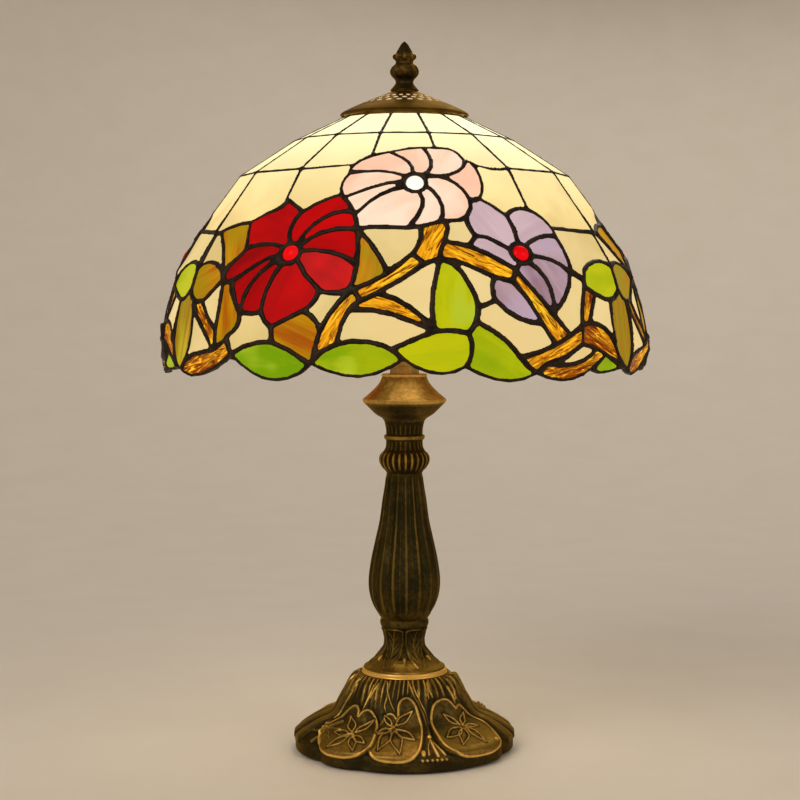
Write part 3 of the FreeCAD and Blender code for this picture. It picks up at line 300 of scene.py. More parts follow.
def link(name, data):
    item = bpy.data.objects.new(name, data)
    bpy.context.collection.objects.link(item)
    return item


def add_piece(name, data, body, slot, *replaced):
    """Put a finished mesh in the scene. It rides on a body and stands for the replaced nodes."""
    item = link(name, data)
    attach(item, body)
    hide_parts(*replaced)


def vectors(data, kind):
    """Positions or normals of a mesh's vertices."""
    values = np.empty(len(data.vertices) * 3, np.float32)
    data.vertices.foreach_get(kind, values)
    return values.reshape(-1, 3)


def move(data, places):
    data.vertices.foreach_set("co", np.asarray(places, np.float32).reshape(-1))


def store(data, name, kind, key, values):
    """Values on the mesh's vertices for its material to read."""
    data.attributes.new(name, kind, "POINT").data.foreach_set(key, values.astype(np.float32).reshape(-1))


def modified(data, *modifiers):
    """The mesh that comes out of modifiers, each given as its kind and settings."""
    item = link(data.name, data)
    for kind, settings in modifiers:
        modifier = item.modifiers.new(kind, kind)
        for key, value in settings.items():
            setattr(modifier, key, value)
    made = bpy.data.meshes.new_from_object(item.evaluated_get(bpy.context.evaluated_depsgraph_get()))
    bpy.data.objects.remove(item)
    return made


class Relief:
    """Raised work on a turned surface, with how far each point is rubbed to gold."""

    def __init__(self, runs, step, columns, edge=0.0):
        """Distance down the profile is counted from the edge, so the flat top above it is negative."""
        self.line, down = profile(runs, step)
        self.down = down - edge
        self.azimuth = np.arange(columns) * 360.0 / columns - 180
        shape = (len(down), columns)
        self.height, self.rub, self.floor = np.zeros(shape), np.zeros(shape), np.zeros(shape)

    def axes(self):
        """Azimuth across, then distance down, radius and height of the profile's points."""
        return self.azimuth[None, :], self.down[:, None], self.line[:, :1], self.line[:, 1:]

    def window(self, azimuth, half_width, low, high):
        """Grid cells about an azimuth, with their millimetres across from it and distance down."""
        rows = np.where((self.down >= low) & (self.down <= high))[0]
        off = (self.azimuth - azimuth + 180) % 360 - 180
        columns = np.where(np.abs(off) <= half_width)[0]
        spot = np.ix_(rows, columns)
        across = np.radians(off[columns])[None, :] * self.line[rows, :1]
        return spot, across, np.broadcast_to(self.down[rows][:, None], across.shape)

    def round_line(self, points):
        """The window round a line, in which the line's first point is at 0 across."""
        azimuth = points[0, 0]
        half = np.max(np.abs((points[:, 0] - azimuth + 180) % 360 - 180)) + 14
        return self.window(azimuth, half, points[:, 1].min() - 4, points[:, 1].max() + 4)

    def local(self, azimuth, points):
        """(azimuth, distance down) points as flat millimetres about an azimuth."""
        places = np.array(points, float)
        off = (places[:, 0] - azimuth + 180) % 360 - 180
        radius = np.interp(places[:, 1], self.down, self.line[:, 0])
        return np.column_stack([np.radians(off) * radius, places[:, 1]])

    def stroke(self, points, width, height, rub=1.0, taper=(1.0, 1.0)):
        """Raised bead along a line. Taper scales its width at the start and the end."""
        points = np.array(points, float)
        spot, across, down = self.round_line(points)
        places = self.local(points[0, 0], points)
        if len(places) > 2:
            places = spline(places, steps=5)
        nearest, along = line_distance(across, down, places)
        reach = width * (taper[0] + (taper[1] - taper[0]) * along)
        self.lift(spot, half_round(nearest, np.maximum(reach, 1e-3)), height, rub, 0.25)

    def crease(self, points, width, depth):
        """Dark groove along a line, for a ridge to stand in."""
        spot, across, down = self.round_line(points)
        nearest, _ = line_distance(across, down, self.local(points[0, 0], points))
        groove = 1 - smooth(nearest, width * 0.3, width)
        self.height[spot] = self.height[spot] - depth * groove
        self.rub[spot] = self.rub[spot] * (1 - 0.75 * groove)

    def freeze(self):
        """Later strokes stand on the surface as it is now."""
        self.floor = self.height.copy()

    def bead(self, azimuth, down, across, along, height, rub=1.0):
        """Oval knob."""
        spot, x, y = self.window(azimuth, 16, down - along - 2, down + along + 2)
        dome = np.sqrt(np.clip(1 - (x / across) ** 2 - ((y - down) / along) ** 2, 0, 1))
        self.lift(spot, dome, height, rub, 0.2)

    def lift(self, spot, shape, height, rub, edge):
        """Stand a shape on the frozen surface, rubbed from its edge up."""
        self.height[spot] = np.maximum(self.height[spot], self.floor[spot] + shape * height)
        self.rub[spot] = np.maximum(self.rub[spot], rub * smooth(shape, edge, 0.9))


def line_distance(x, y, places):
    """Distance to the nearest point of a line, and how far along the line that is, from 0 to 1."""
    nearest = np.full(x.shape, 1e9)
    along = np.zeros(x.shape)
    for index, (start, end) in enumerate(zip(places, places[1:])):
        step = end - start
        share = ((x - start[0]) * step[0] + (y - start[1]) * step[1]) / max(step @ step, 1e-9)
        share = np.clip(share, 0, 1)
        distance = np.hypot(x - start[0] - share * step[0], y - start[1] - share * step[1])
        closer = distance < nearest
        nearest = np.where(closer, distance, nearest)
        along = np.where(closer, (index + share) / (len(places) - 1), along)
    return nearest, along


def inside(x, y, places):
    """Whether each point is inside a closed outline."""
    within = np.zeros(x.shape, bool)
    for start, end in zip(places, np.roll(places, -1, axis=0)):
        crosses = (start[1] > y) != (end[1] > y)
        if start[1] != end[1]:
            edge = start[0] + (y - start[1]) * (end[0] - start[0]) / (end[1] - start[1])
            within ^= crosses & (x < edge)
    return within


def revolved(name, relief, back, material, body, replaced, shift=None):
    """Closed mesh: the relief surface outside and a plain way back inside."""
    line = relief.line
    tangent = np.gradient(line, axis=0)
    tangent /= np.linalg.norm(tangent, axis=1)[:, None] + 1e-12
    normal = np.column_stack([-tangent[:, 1], tangent[:, 0]])
    radius = line[:, :1] + normal[:, :1] * relief.height
    level = line[:, 1:] + normal[:, 1:] * relief.height
    if shift is not None:
        radius = radius - shift(relief.azimuth[None, :], line[:, :1])
    columns = len(relief.azimuth)
    back = np.array(back, float)
    radius = np.vstack([radius, np.repeat(back[:, :1], columns, 1)])
    level = np.vstack([level, np.repeat(back[:, 1:], columns, 1)])
    angle = np.radians(relief.azimuth)[None, :]
    points = np.stack([radius * np.sin(angle), -radius * np.cos(angle), level], -1).reshape(-1, 3) * MM
    grid = np.arange(radius.size).reshape(radius.shape)
    following = np.roll(grid, -1, axis=1)
    faces = np.stack([grid, np.roll(grid, -1, axis=0), np.roll(following, -1, axis=0), following], -1)
    data = bpy.data.meshes.new(name)
    data.from_pydata(points.tolist(), [], faces.reshape(-1, 4).tolist())
    data.validate()
    data.shade_smooth()
    store(data, "rub", "FLOAT", "value", np.vstack([relief.rub, np.zeros((len(back), columns))]))
    data.materials.append(material)
    add_piece(name, data, body, "bronze", replaced)


# -------- cast foot

PIPE_HOLE = 5.4    # radius of the hole for the lamp pipe in every casting
FOOT_RADIUS = 69.5
# Ornament of the front half of the foot, in (azimuth, distance down); the back repeats it
PAD_LEFT = [(-40, 30.4), (-42, 26), (-46, 24), (-50.8, 25.3), (-55, 29.2), (-58, 36), (-59, 45), (-57, 54),
            (-52, 60.5), (-45, 63), (-38, 63.6), (-30, 63), (-23.3, 60.5), (-19.7, 55.4), (-18.7, 48),
            (-19.5, 39.6), (-22.4, 31.8), (-27, 26.9), (-32, 25.2), (-37, 26.8)]
PAD_MIDDLE = [(-5, 31), (-5.3, 22), (-3.2, 17.7), (3, 16), (8.9, 19.8), (11.5, 27), (12.5, 36),
              (10.1, 47.7), (7.5, 56.5), (3.8, 61.5), (-2, 63.5), (-8, 63.5), (-14, 62.5), (-18.5, 59),
              (-20.5, 50), (-20, 41), (-18, 33), (-14.5, 27), (-10, 26.5), (-7, 29)]
PAD_RIGHT = [(48.5, 25.5), (43.5, 20), (35.7, 18.8), (27.4, 21.2), (23, 26.6), (21.2, 34), (20.8, 43),
             (21.8, 51.6), (24.6, 57.3), (29.6, 61.5), (36, 63.5), (45.7, 64), (54, 63), (60, 60),
             (64, 53), (65, 44), (63, 35), (59, 28), (55, 24.5), (51, 25)]
# Flowers on the pads: middle, and tips of the petals
STARS = [((-34.6, 45.5), [(-48.7, 31), (-25, 31), (-23.6, 52.4), (-28, 59), (-44, 59.5), (-50, 47)]),
         ((-8.6, 35.5), [(-17.5, 27), (6.8, 24.2), (6, 47.3), (-2.5, 58.5), (-14.6, 56.5), (-18.6, 43)]),
         ((46, 39), [(34.8, 27.6), (57, 29.5), (57.5, 43), (49.5, 56.5), (34.2, 55), (26.4, 47.4)])]
# Stems that run down between the pleats, with their half widths
STEMS = [([(5.4, 5), (8.1, 12), (13, 20), (16.6, 27.4), (17.6, 36), (16.4, 43)], 0.85),
         ([(9, 6), (12, 13), (16, 20), (19, 27), (19.6, 35)], 0.7),
         ([(-21, 5), (-17.5, 12), (-13, 19), (-8, 25), (-6, 30)], 0.8),
         ([(-17.5, 16), (-18.5, 21), (-15.5, 26)], 0.8), ([(-36, 9), (-37.5, 18), (-40, 27)], 1.1),
         ([(-31, 7), (-33.5, 13), (-35.5, 17)], 0.9), ([(-31, 7), (-30, 13), (-29, 18)], 0.8),
         ([(27.5, 6), (26.8, 11), (22, 15.5)], 1.1), ([(27.5, 6), (27, 11), (28.5, 16.5)], 1.1),
         ([(27.5, 6), (25.5, 10), (24.5, 17)], 0.7), ([(52, 12), (54, 19), (52.5, 31)], 1.7),
         ([(60, 7), (60.5, 13), (57.5, 20)], 1.2), ([(118, 7), (114, 20), (112, 36)], 0.9)]
# Broad smooth folds at the sides, with their half widths
FOLDS = [([(66, 8), (74, 24), (77, 42), (76, 60)], 6.5), ([(84, 8), (88, 24), (90, 42), (89, 60)], 8.5),
         ([(104, 10), (104, 26), (105, 44), (104, 60)], 6)]
SPRIG = (-56.5, 47)
SPRIG_LEAVES = [(-66, 40), (-68, 52), (-60, 60), (-51, 37), (-46, 44), (-49, 53)]
TASSEL = 16    # azimuth of the bell and tassel between two pads
# Azimuth and depth of the notches in the foot's rim, over half a turn
NOTCHES = [(-52, 3.4), (-24, 2.6), (38, 0.7), (66, 3.3), (128, 3.4)]


def rim_shift(azimuth, radius):
    """How far the lobed plan of the foot draws in at an azimuth, fading out up the bell."""
    turn = (azimuth + 52) % 180 - 52
    drawn_in = np.zeros(turn.shape)
    for (start, start_depth), (end, end_depth) in zip(NOTCHES, NOTCHES[1:]):
        share = (turn - start) / (end - start) * 2 - 1
        depth = np.where(share < 0, start_depth, end_depth) * np.abs(share) ** 3
        drawn_in = np.where((turn >= start) & (turn < end), depth, drawn_in)
    return drawn_in * smooth(radius, 52, 69)


def turned(points, turn):
    """The same drawn points further round the piece."""
    return [(azimuth + turn, depth) for azimuth, depth in points]


def leaf_area(relief, middle, half_width, low, high, outline):
    """Window round a leaf, with which points are inside its outline and how far they are from it."""
    spot, across, down = relief.window(middle, half_width, low, high)
    places = spline(relief.local(middle, outline), closed=True, steps=5)[:-1]
    distance, _ = line_distance(across, down, np.vstack([places, places[:1]]))
    return spot, down, inside(across, down, places), distance


def half_round(distance, reach):
    """Height of a round bead as a share, by distance from its middle."""
    return np.sqrt(np.clip(1 - (distance / reach) ** 2, 0, 1))


def pad(relief, outline, lift, darker=0.0):
    """Round leaf with a raised edge and a dished face."""
    middle = np.mean([point[0] for point in outline])
    spot, down, within, distance = leaf_area(relief, middle, 42, 12, 66.5, outline)
    dish = lift - 0.9 * smooth(distance, 0.6, 9)
    skirt = lift * (1 - smooth(distance, 0.5, 1.3))
    lip = 0.75 * half_round(distance, 1.05)
    face = np.where(within, dish, skirt) + lip
    covered = within | (distance < 1.2)
    # painted shadow: round each pad the paint is darkened, along with a shallow groove
    clear_of_groove_and_shadow = smooth(distance, 1.0, 4.5)
    relief.height[spot] = np.where(covered, face, relief.height[spot] - 0.35 * (1 - clear_of_groove_and_shadow))
    relief.rub[spot] = np.where(covered, relief.rub[spot], relief.rub[spot] * (0.25 + 0.75 * clear_of_groove_and_shadow))
    # painted highlight: the pads and their lips are painted more gold towards their lower edge, on top of
    # their rubbed gold
    gold = 0.17 + 0.38 * smooth(down, 36, 59) - darker
    gold = np.maximum(gold, smooth(lip, 0.25, 0.7) * (0.7 + 0.2 * smooth(down, 22, 50)))
    relief.rub[spot] = np.where(covered, gold, relief.rub[spot])


def star(relief, centre, tips, rub):
    """Flower of narrow pointed petals round a bead, each a raised outline in a dark groove."""
    places = relief.local(centre[0], [centre] + list(tips))
    hub = places[0]
    outlines = []
    for tip in places[1:]:
        reach = tip - hub
        side = np.array([-reach[1], reach[0]]) * 0.15
        for way in (1, -1):
            line = np.array([hub + reach * 0.12, hub + reach * 0.5 + side * way, tip])
            radius = np.interp(line[:, 1], relief.down, relief.line[:, 0])
            outlines.append(np.column_stack([centre[0] + np.degrees(line[:, 0] / radius), line[:, 1]]))
    for outline in outlines:
        relief.crease(outline, 1.9, 0.3)
    relief.freeze()
    for outline in outlines:
        relief.stroke(outline, 0.72, 1.0, rub, (0.9, 0.75))
    relief.bead(centre[0], centre[1], 1.8, 1.8, 1.6, rub)


def foot():
    relief = Relief([
        [(PIPE_HOLE, 52), (26.2, 52)], [(26.2, 52), (26.8, 51.4)], [(26.8, 51.4), (26.9, 49.4)],
        [(26.9, 49.4), (29.2, 47.9), (33.1, 44.4), (37, 38), (40.2, 32.6), (45.4, 24.5), (55, 20),
         (63.7, 15), (68.6, 11.4), (FOOT_RADIUS, 9)],
        [(FOOT_RADIUS, 9), (FOOT_RADIUS, 2.2)], [(FOOT_RADIUS, 2.2), (68.9, 1.5)]], 0.42, 1080, 21.65)
    azimuth, depth, radius, _ = relief.axes()
    # draped pleats under the lip, uneven and slightly slanted
    drift = 1.6 * sine(azimuth * 4 + 20) + 0.9 * sine(azimuth * 11)
    slant = 0.22 * (depth - 4) * sine(azimuth * 3 + 60)
    wave = cosine((azimuth + drift + slant) * 58)
    strength = 0.75 + 0.35 * sine(azimuth * 17 + depth * 9) * smooth(depth, 2, 10)
    extent = between(depth, 2.2, 4, 15, 24 + 5 * sine(azimuth * 7))
    relief.height += np.clip(wave, -0.6, 1) * 0.55 * strength * extent
    relief.height -= 0.5 * between(depth, 6, 18, 60, 64)
    relief.rub += np.clip(smooth(wave, 0.0, 0.9) * extent * (0.95 - 0.03 * depth) * strength, 0, 1)
    coarse = sine(azimuth * 5 + depth * 3) * sine(azimuth * 13 - depth * 6)
    relief.rub += 0.1 + 0.08 * coarse
    lip = (depth < 2.4) & (depth > -1.5)
    relief.rub = np.where(lip, 1.0, relief.rub)
    relief.freeze()
    for turn in (0, 180):
        for points, width in STEMS:
            relief.stroke(turned(points, turn), width, 0.9, 0.75, (0.9, 0.6))
        for points, width in FOLDS:
            relief.stroke(turned(points, turn), width, 2.0, 0.36, (0.45, 1.0))
    for turn in (0, 180):
        pad(relief, turned(PAD_MIDDLE, turn), 1.0)
        pad(relief, turned(PAD_LEFT, turn), 1.3, 0.05)
        pad(relief, turned(PAD_RIGHT, turn), 1.2)
    relief.freeze()
    for turn in (0, 180):
        for centre, tips in STARS:
            star(relief, *turned([centre], turn), turned(tips, turn), 0.76)
        for tip in SPRIG_LEAVES:
            relief.stroke(turned([SPRIG, tip], turn), 1.3, 1.5, 0.55, (1.0, 0.5))
        relief.bead(SPRIG[0] + turn, SPRIG[1], 1.9, 1.9, 2.0, 0.7)
        at = TASSEL + turn
        relief.bead(at - 0.3, 45, 1.7, 1.9, 1.6)
        relief.stroke([(at - 0.4, 47.5), (at - 0.2, 52), (at + 1.2, 60.5)], 1.25, 1.2, 0.9, (0.5, 1.0))
        relief.stroke([(at - 1, 48), (at - 2.8, 53.5), (at - 3.4, 59.5)], 0.8, 1.0, 0.8, (0.4, 0.9))
        relief.stroke([(at + 0.6, 49), (at + 3.2, 55), (at + 5.2, 60.5)], 0.8, 1.0, 0.8, (0.4, 0.9))
        relief.bead(at - 6.2, 58, 1.8, 3.0, 1.2, 0.85)
        for step in range(6):
            relief.bead(at - 7 + 2.5 * step, 63.0, 1.15, 1.1, 1.0, 0.8)
        relief.bead(57.8 + turn, 57.8, 1.9, 1.9, 1.3, 0.8)
    relief.height *= 1 - smooth(depth, 64.2, 66)
    relief.rub = np.where(depth > 64.6, 0.1, relief.rub)
    relief.height = np.minimum(relief.height, FOOT_RADIUS + 0.9 - radius)
    back = [(62.5, 1.5), (62.5, 9), (60, 9.5), (43, 20.5), (33, 33), (20, 46), (PIPE_HOLE, 47)]
    revolved("foot_relief", relief, back, bronze("bronze_foot", "rub", (1.12, 1.12, 1.22), 0.55), "base",
             "foot_casting", rim_shift)


# -------- column

def collar():
    relief = Relief([
        [(PIPE_HOLE, 79), (14.2, 79)], [(14.2, 79), (13.3, 74), (12.6, 69.7), (13.6, 64.5), (18.2, 58)],
        [(18.2, 58), (22, 55), (25.7, 53)], [(25.7, 53), (25.9, 52)]], 0.3, 540, 14.2 - PIPE_HOLE)
    azimuth, depth, _, _ = relief.axes()
    front = np.abs((azimuth + 90) % 180 - 90)
    relief.rub += 0.1 + 0.36 * smooth(depth, 20, 24)
    # painted highlight: the lower edge is painted more gold facing front and back only
    relief.rub += 0.24 * smooth(depth, 22.5, 25) * (1 - smooth(front, 10, 26))
    relief.height -= 0.8 * between(depth, 0.8, 2, 19, 22)
    relief.freeze()
    middles = [30 + 60 * leaf for leaf in range(6)]
    outline = [(-21.6, 1.8), (21.6, 1.8), (25.65, 7), (22.95, 13), (13.5, 18.5), (0, 22.4), (-13.5, 18.5),
               (-22.95, 13), (-25.65, 7)]
    for middle in middles:
        spot, _, within, distance = leaf_area(relief, middle, 30, 0, 24, turned(outline, middle))
        face = np.where(within, 0.5 - 0.7 * smooth(distance, 0.2, 3.2), relief.height[spot])
        relief.height[spot] = face + 0.4 * half_round(distance, 0.6)
        relief.rub[spot] = np.maximum(relief.rub[spot], 0.34 * smooth(0.6 - distance, 0, 0.4))
    relief.freeze()
    for middle in middles:
        relief.stroke([(middle + 4, 2.4), (middle - 3, 11), (middle, 21.5)], 0.6, 0.6, 0.36)
        for top, reach in ((3.2, 17), (8.2, 18), (13, 13)):
            for way in (1, -1):
                relief.stroke([(middle + way * reach, top), (middle + way * reach * 0.5, top + 3.4),
                               (middle - 1, top + 6)], 0.5, 0.5, 0.3, (0.5, 1))
        edge = middle + 30
        for way in (1, -1):
            relief.stroke([(edge + way * 6, 14), (edge + way * 14, 20), (edge + way * 24, 27.4)],
                          0.75, 0.7, 0.5, (0.5, 1))
        relief.stroke([(edge, 20.3), (edge, 23.2)], 1.5, 1.3, 0.8, (1.0, 0.45))
    revolved("collar_relief", relief, [(PIPE_HOLE, 52)], bronze("bronze_collar", "rub"), "base",
             "leaf_collar")


def baluster():
    """Fluted pear shape: a thin rib between each two flutes and a fainter one along each flute."""
    ribs, girth = 16, 22.5
    relief = Relief([
        [(PIPE_HOLE, 176.5), (11.2, 176.5)],
        [(11.2, 176.5), (12.2, 168), (13.7, 158.7), (15.5, 145.6), (18.6, 131.7), (21.2, 119), (girth, 107),
         (21.3, 97), (17.6, 88), (14.6, 83.2)],
        [(14.6, 83.2), (15.3, 82.4), (15.5, 80.8), (15.1, 79)]], 0.45, 640, 11.2 - PIPE_HOLE)
    azimuth, depth, radius, _ = relief.axes()
    half_turn = np.radians((azimuth - 3.4) * ribs / 2)
    near_rib, near_flute = np.abs(np.cos(half_turn)), np.abs(np.sin(half_turn))
    reach = between(depth, 0.6, 5, 86, 93)
    rib = np.clip(1 - (1 - near_rib) / 0.06, 0, 1)
    line = np.clip(1 - (1 - near_flute) / 0.02, 0, 1)
    relief.height += reach * (-1.15 * (1 - near_rib ** 1.5) * radius / girth + 0.35 * smooth(rib, 0, 0.9))
    relief.height += reach * 0.3 * smooth(line, 0, 0.9) * (depth > 12)
    wear = 0.75 + 0.25 * sine(azimuth * 3 + depth * 2)
    relief.rub += 0.1 + reach * wear * (0.3 * smooth(near_rib, 0.93, 0.99) + 0.1 * smooth(line, 0.1, 0.9))
    relief.rub += 0.1 * (1 - reach)
    revolved("baluster_relief", relief, [(PIPE_HOLE, 79)],
             bronze("bronze_baluster", "rub", (1, 1.02, 1.05), 0.45), "base", "baluster")


def neck():
    relief = Relief([
        [(PIPE_HOLE, 209), (12.7, 209)], [(12.7, 209), (12.0, 206), (11.6, 203), (11.6, 200.4)],
        [(11.6, 200.4), (12.7, 200.1), (12.9, 198.9), (12.5, 197.7), (11.6, 197.4)],
        [(11.6, 197.4), (11.8, 193), (13.2, 190)],
        [(13.2, 190), (14.8, 188.6), (15.9, 186.4), (15.9, 183.4), (14.4, 180), (12.2, 177.8),
         (11.4, 176.5)]], 0.25, 720)
    azimuth, _, radius, level = relief.axes()
    wave = cosine((azimuth - 3) * 24)
    bulge = between(level, 177.6, 179.5, 189, 190.2)
    fluted = between(level, 190.8, 191.6, 196.6, 197.2) + between(level, 200.8, 201.6, 206, 208)
    relief.height += bulge * (-0.55 + 0.55 * np.clip(wave * 1.5, -1, 1)) + fluted * (-0.25 + 0.25 * wave)
    relief.rub += 0.1 + bulge * 0.6 * smooth(wave, 0.0, 0.8) + fluted * 0.25 * smooth(wave, 0.3, 0.9)
    relief.rub += 0.55 * smooth(radius, 12.3, 12.8) * (level > 197) * (level < 201)
    revolved("neck_relief", relief, [(PIPE_HOLE, 176.5)], bronze("bronze_neck", "rub"), "base",
             "neck_casting")


def cup():
    relief = Relief([
        [(PIPE_HOLE, 239), (13.9, 239)], [(13.9, 239), (14.5, 238.4), (14.1, 237.3)],
        [(14.1, 237.3), (15.2, 234.5), (17.3, 231.4), (21.5, 227.2), (25.4, 223.8)],
        [(25.4, 223.8), (26.3, 223.2), (26.5, 222), (25.9, 221.0)],
        [(25.9, 221.0), (22.3, 217.4), (18.3, 213.6), (14.2, 211), (12.7, 209)]], 0.4, 256)
    azimuth, _, radius, level = relief.axes()
    # painted light and shade: the cup's top is painted gold where the bulb lights it and its underside dark
    # below the rim; the outer rim edge is painted more gold
    relief.rub += 0.64 + 0.03 * sine(azimuth * 3) - 0.44 * (1 - smooth(level, 219, 221.8))
    relief.rub += 0.14 * smooth(radius, 25.6, 26.2) + 0.3 * smooth(level, 237.2, 238)
    revolved("cup_turned", relief, [(12, 209), (PIPE_HOLE, 209)],
             bronze("bronze_cup", "rub", (1.14, 1.17, 1.45), 0.2), "base", "socket_cup")


def finial():
    axis, socket, socket_top = 0.02, 3.15, 428.3
    relief = Relief([
        [(axis, 447), (0.7, 446.6), (1.6, 445.6), (3.4, 442.6), (5.0, 439.8), (5.5, 438.9)],
        [(5.5, 438.9), (6.7, 438.2), (6.9, 437.1), (6.1, 435.7), (5.4, 434.2), (5.8, 432.9), (7.5, 431.3),
         (8.7, 428.4), (8.0, 425.4), (6.2, 423.4), (5.5, 421.8), (5.9, 420.4), (7.4, 418.4), (8.8, 416.8)],
        [(8.8, 416.8), (8.9, 416.3)]], 0.2, 256)
    azimuth, _, _, level = relief.axes()
    wave = cosine(azimuth * 8)
    collar_band = between(level, 435, 436.4, 438.4, 439.6)
    ball = between(level, 424, 427, 431, 433)
    tip = between(level, 439.4, 440.4, 444.5, 446.5)
    relief.height += collar_band * 0.5 * np.clip(wave, -0.5, 1) + tip * 0.25 * wave
    relief.height += ball * 0.35 * cosine(azimuth * 8 + (level - 428) * 30)
    relief.rub += 0.08 + (0.25 * collar_band + 0.12 * ball) * smooth(wave, 0.2, 1)
    revolved("finial_relief", relief, [(socket, 416.3), (socket, socket_top), (axis, socket_top)],
             bronze("bronze_finial", "rub", (1.2, 1.1, 1.1)), "finial", "finial")


# -------- pierced cap

CAP_RUNS = [
    [(3.3, 415.5), (8.8, 415.5)], [(8.8, 415.5), (14.8, 413.2)], [(14.8, 413.2), (27.4, 408.0)],
    [(27.4, 408.0), (33, 405.5), (36.3, 403.9), (39.2, 402.3), (40.3, 401.2), (40.3, 400.5)],
    [(40.3, 400.5), (39.9, 400.05), (39.2, 400.0), (38.7, 400.5), (38.5, 401.4)]]
PIERCED_TOP, PIERCED_BOTTOM = 11.93, 25.56    # distance down the cap of the band with the holes
HOLES_ROUND, HOLE_ROWS = 24, 3
HOLE_WIDTH, HOLE_HEIGHT = 0.6, 0.66    # shares of the hole's cell
CELL_STEPS = 4    # mesh columns to a cell


def cap():
    """Vase cap pierced with staggered rows of oval holes. Its inside is painted near-white, painted light
    that makes the bulb's light show bright through the holes.
    """
    columns = HOLES_ROUND * CELL_STEPS
    line, down = profile(CAP_RUNS, 0.4)
    mesh = bmesh.new()

    def at(column, distance):
        radius = np.interp(distance, down, line[:, 0]) * MM
        angle = 2 * math.pi * column / columns
        return mesh.verts.new((radius * math.sin(angle), -radius * math.cos(angle),
                               np.interp(distance, down, line[:, 1]) * MM))

    def quad(*corners):
        mesh.faces.new([at(*corner) for corner in corners])

    def band(distances):
        for start, end in zip(distances, distances[1:]):
            for column in range(columns):
                quad((column, start), (column, end), (column + 1, end), (column + 1, start))

    def pierced_cell(left, high, low):
        right, middle, centre = left + CELL_STEPS, left + CELL_STEPS / 2, (high + low) / 2
        ring = [(left + step, high) for step in range(CELL_STEPS + 1)] + [(right, centre)]
        ring += [(right - step, low) for step in range(CELL_STEPS + 1)] + [(left, centre)]
        hole = []
        for column, distance in ring:
            turn = math.atan2((distance - centre) * 2 / (low - high), (column - middle) * 2 / CELL_STEPS)
            hole.append((middle + HOLE_WIDTH * CELL_STEPS / 2 * math.cos(turn),
                         centre + HOLE_HEIGHT * (low - high) / 2 * math.sin(turn)))
        for index, after in enumerate(list(range(1, len(ring))) + [0]):
            quad(ring[index], hole[index], hole[after], ring[after])

    band([0, 2.5, 5.5, 7.5, 9.5, PIERCED_TOP])
    rows = np.linspace(PIERCED_TOP, PIERCED_BOTTOM, HOLE_ROWS + 1)
    for row, (high, low) in enumerate(zip(rows, rows[1:])):
        for cell in range(HOLES_ROUND):
            pierced_cell(cell * CELL_STEPS + row % 2 * CELL_STEPS / 2, high, low)
    band(np.linspace(PIERCED_BOTTOM, down[-1], 22))
    bmesh.ops.remove_doubles(mesh, verts=mesh.verts, dist=2e-5)
    bmesh.ops.recalc_face_normals(mesh, faces=mesh.faces)
    if sum(face.normal.z for face in mesh.faces) < 0:
        bmesh.ops.reverse_faces(mesh, faces=mesh.faces)
    sheet = bpy.data.meshes.new("cap_sheet")
    mesh.to_mesh(sheet)
    mesh.free()
    sheet.materials.append(bronze("bronze_cap", None, (0.86, 0.8, 0.66), 0.6))
    # near-white inside and hole edges: painted light for the bulb's glow seen through the holes
    sheet.materials.append(plain("cap_inside_painted_light", (255, 246, 224), (246, 230, 196), 0.45, 120))
    made = modified(sheet, ("SOLIDIFY", {"thickness": 0.9 * MM, "offset": -1, "material_offset": 1,
                                         "material_offset_rim": 1}))
    made.shade_smooth()
    made.set_sharp_from_angle(angle=math.radians(50))
    add_piece("cap_pierced", made, "shade", "bronze", "vase_cap")


# -------- leaded came

def came_network():
    """The came of the whole shade as one soldered network, rounded and a little uneven."""
    made = modified(NODES["solder_came"].data.copy(),
                    ("REMESH", {"mode": "VOXEL", "voxel_size": 0.85 * MM}),
                    ("SMOOTH", {"factor": 0.6, "iterations": 4}))
    places, normals = vectors(made, "co"), vectors(made, "normal")
    wobble = (np.sin(places[:, 0] * 420 + 2 * np.sin(places[:, 2] * 310))
              * np.sin(places[:, 1] * 380 + 2 * np.sin(places[:, 2] * 290)))
    # full round the flowers, thin between the cream courses above them
    fullness = 0.00034 - 0.00040 * smooth(places[:, 2], 0.328, 0.35) + 0.00013 * wobble
    low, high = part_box("solder_came")
    move(made, np.clip(places + normals * fullness[:, None], low, high))
    made.update()
    made.shade_smooth()
    shader = Shader("came_patina")
    place = shader.place()
    stain = shader.noise(place, 120, 4, 0.6)
    fine = shader.noise(place, 900, 3, 0.6)
    colour = shader.mix(shader.ramp(stain, 0.35, 0.7), (26, 16, 10), (54, 38, 24))
    shader.surface(Base_Color=colour, Metallic=0.5, Roughness=shader.ramp(stain, 0.3, 0.7, 0.4, 0.6),
                   Specular_IOR_Level=0.3, Normal=shader.bump(fine, 0.25, 0.0004))
    dress(made, shader.material)
    add_piece("came_network", made, "shade", "came", "solder_came")


# -------- glass, piece by piece

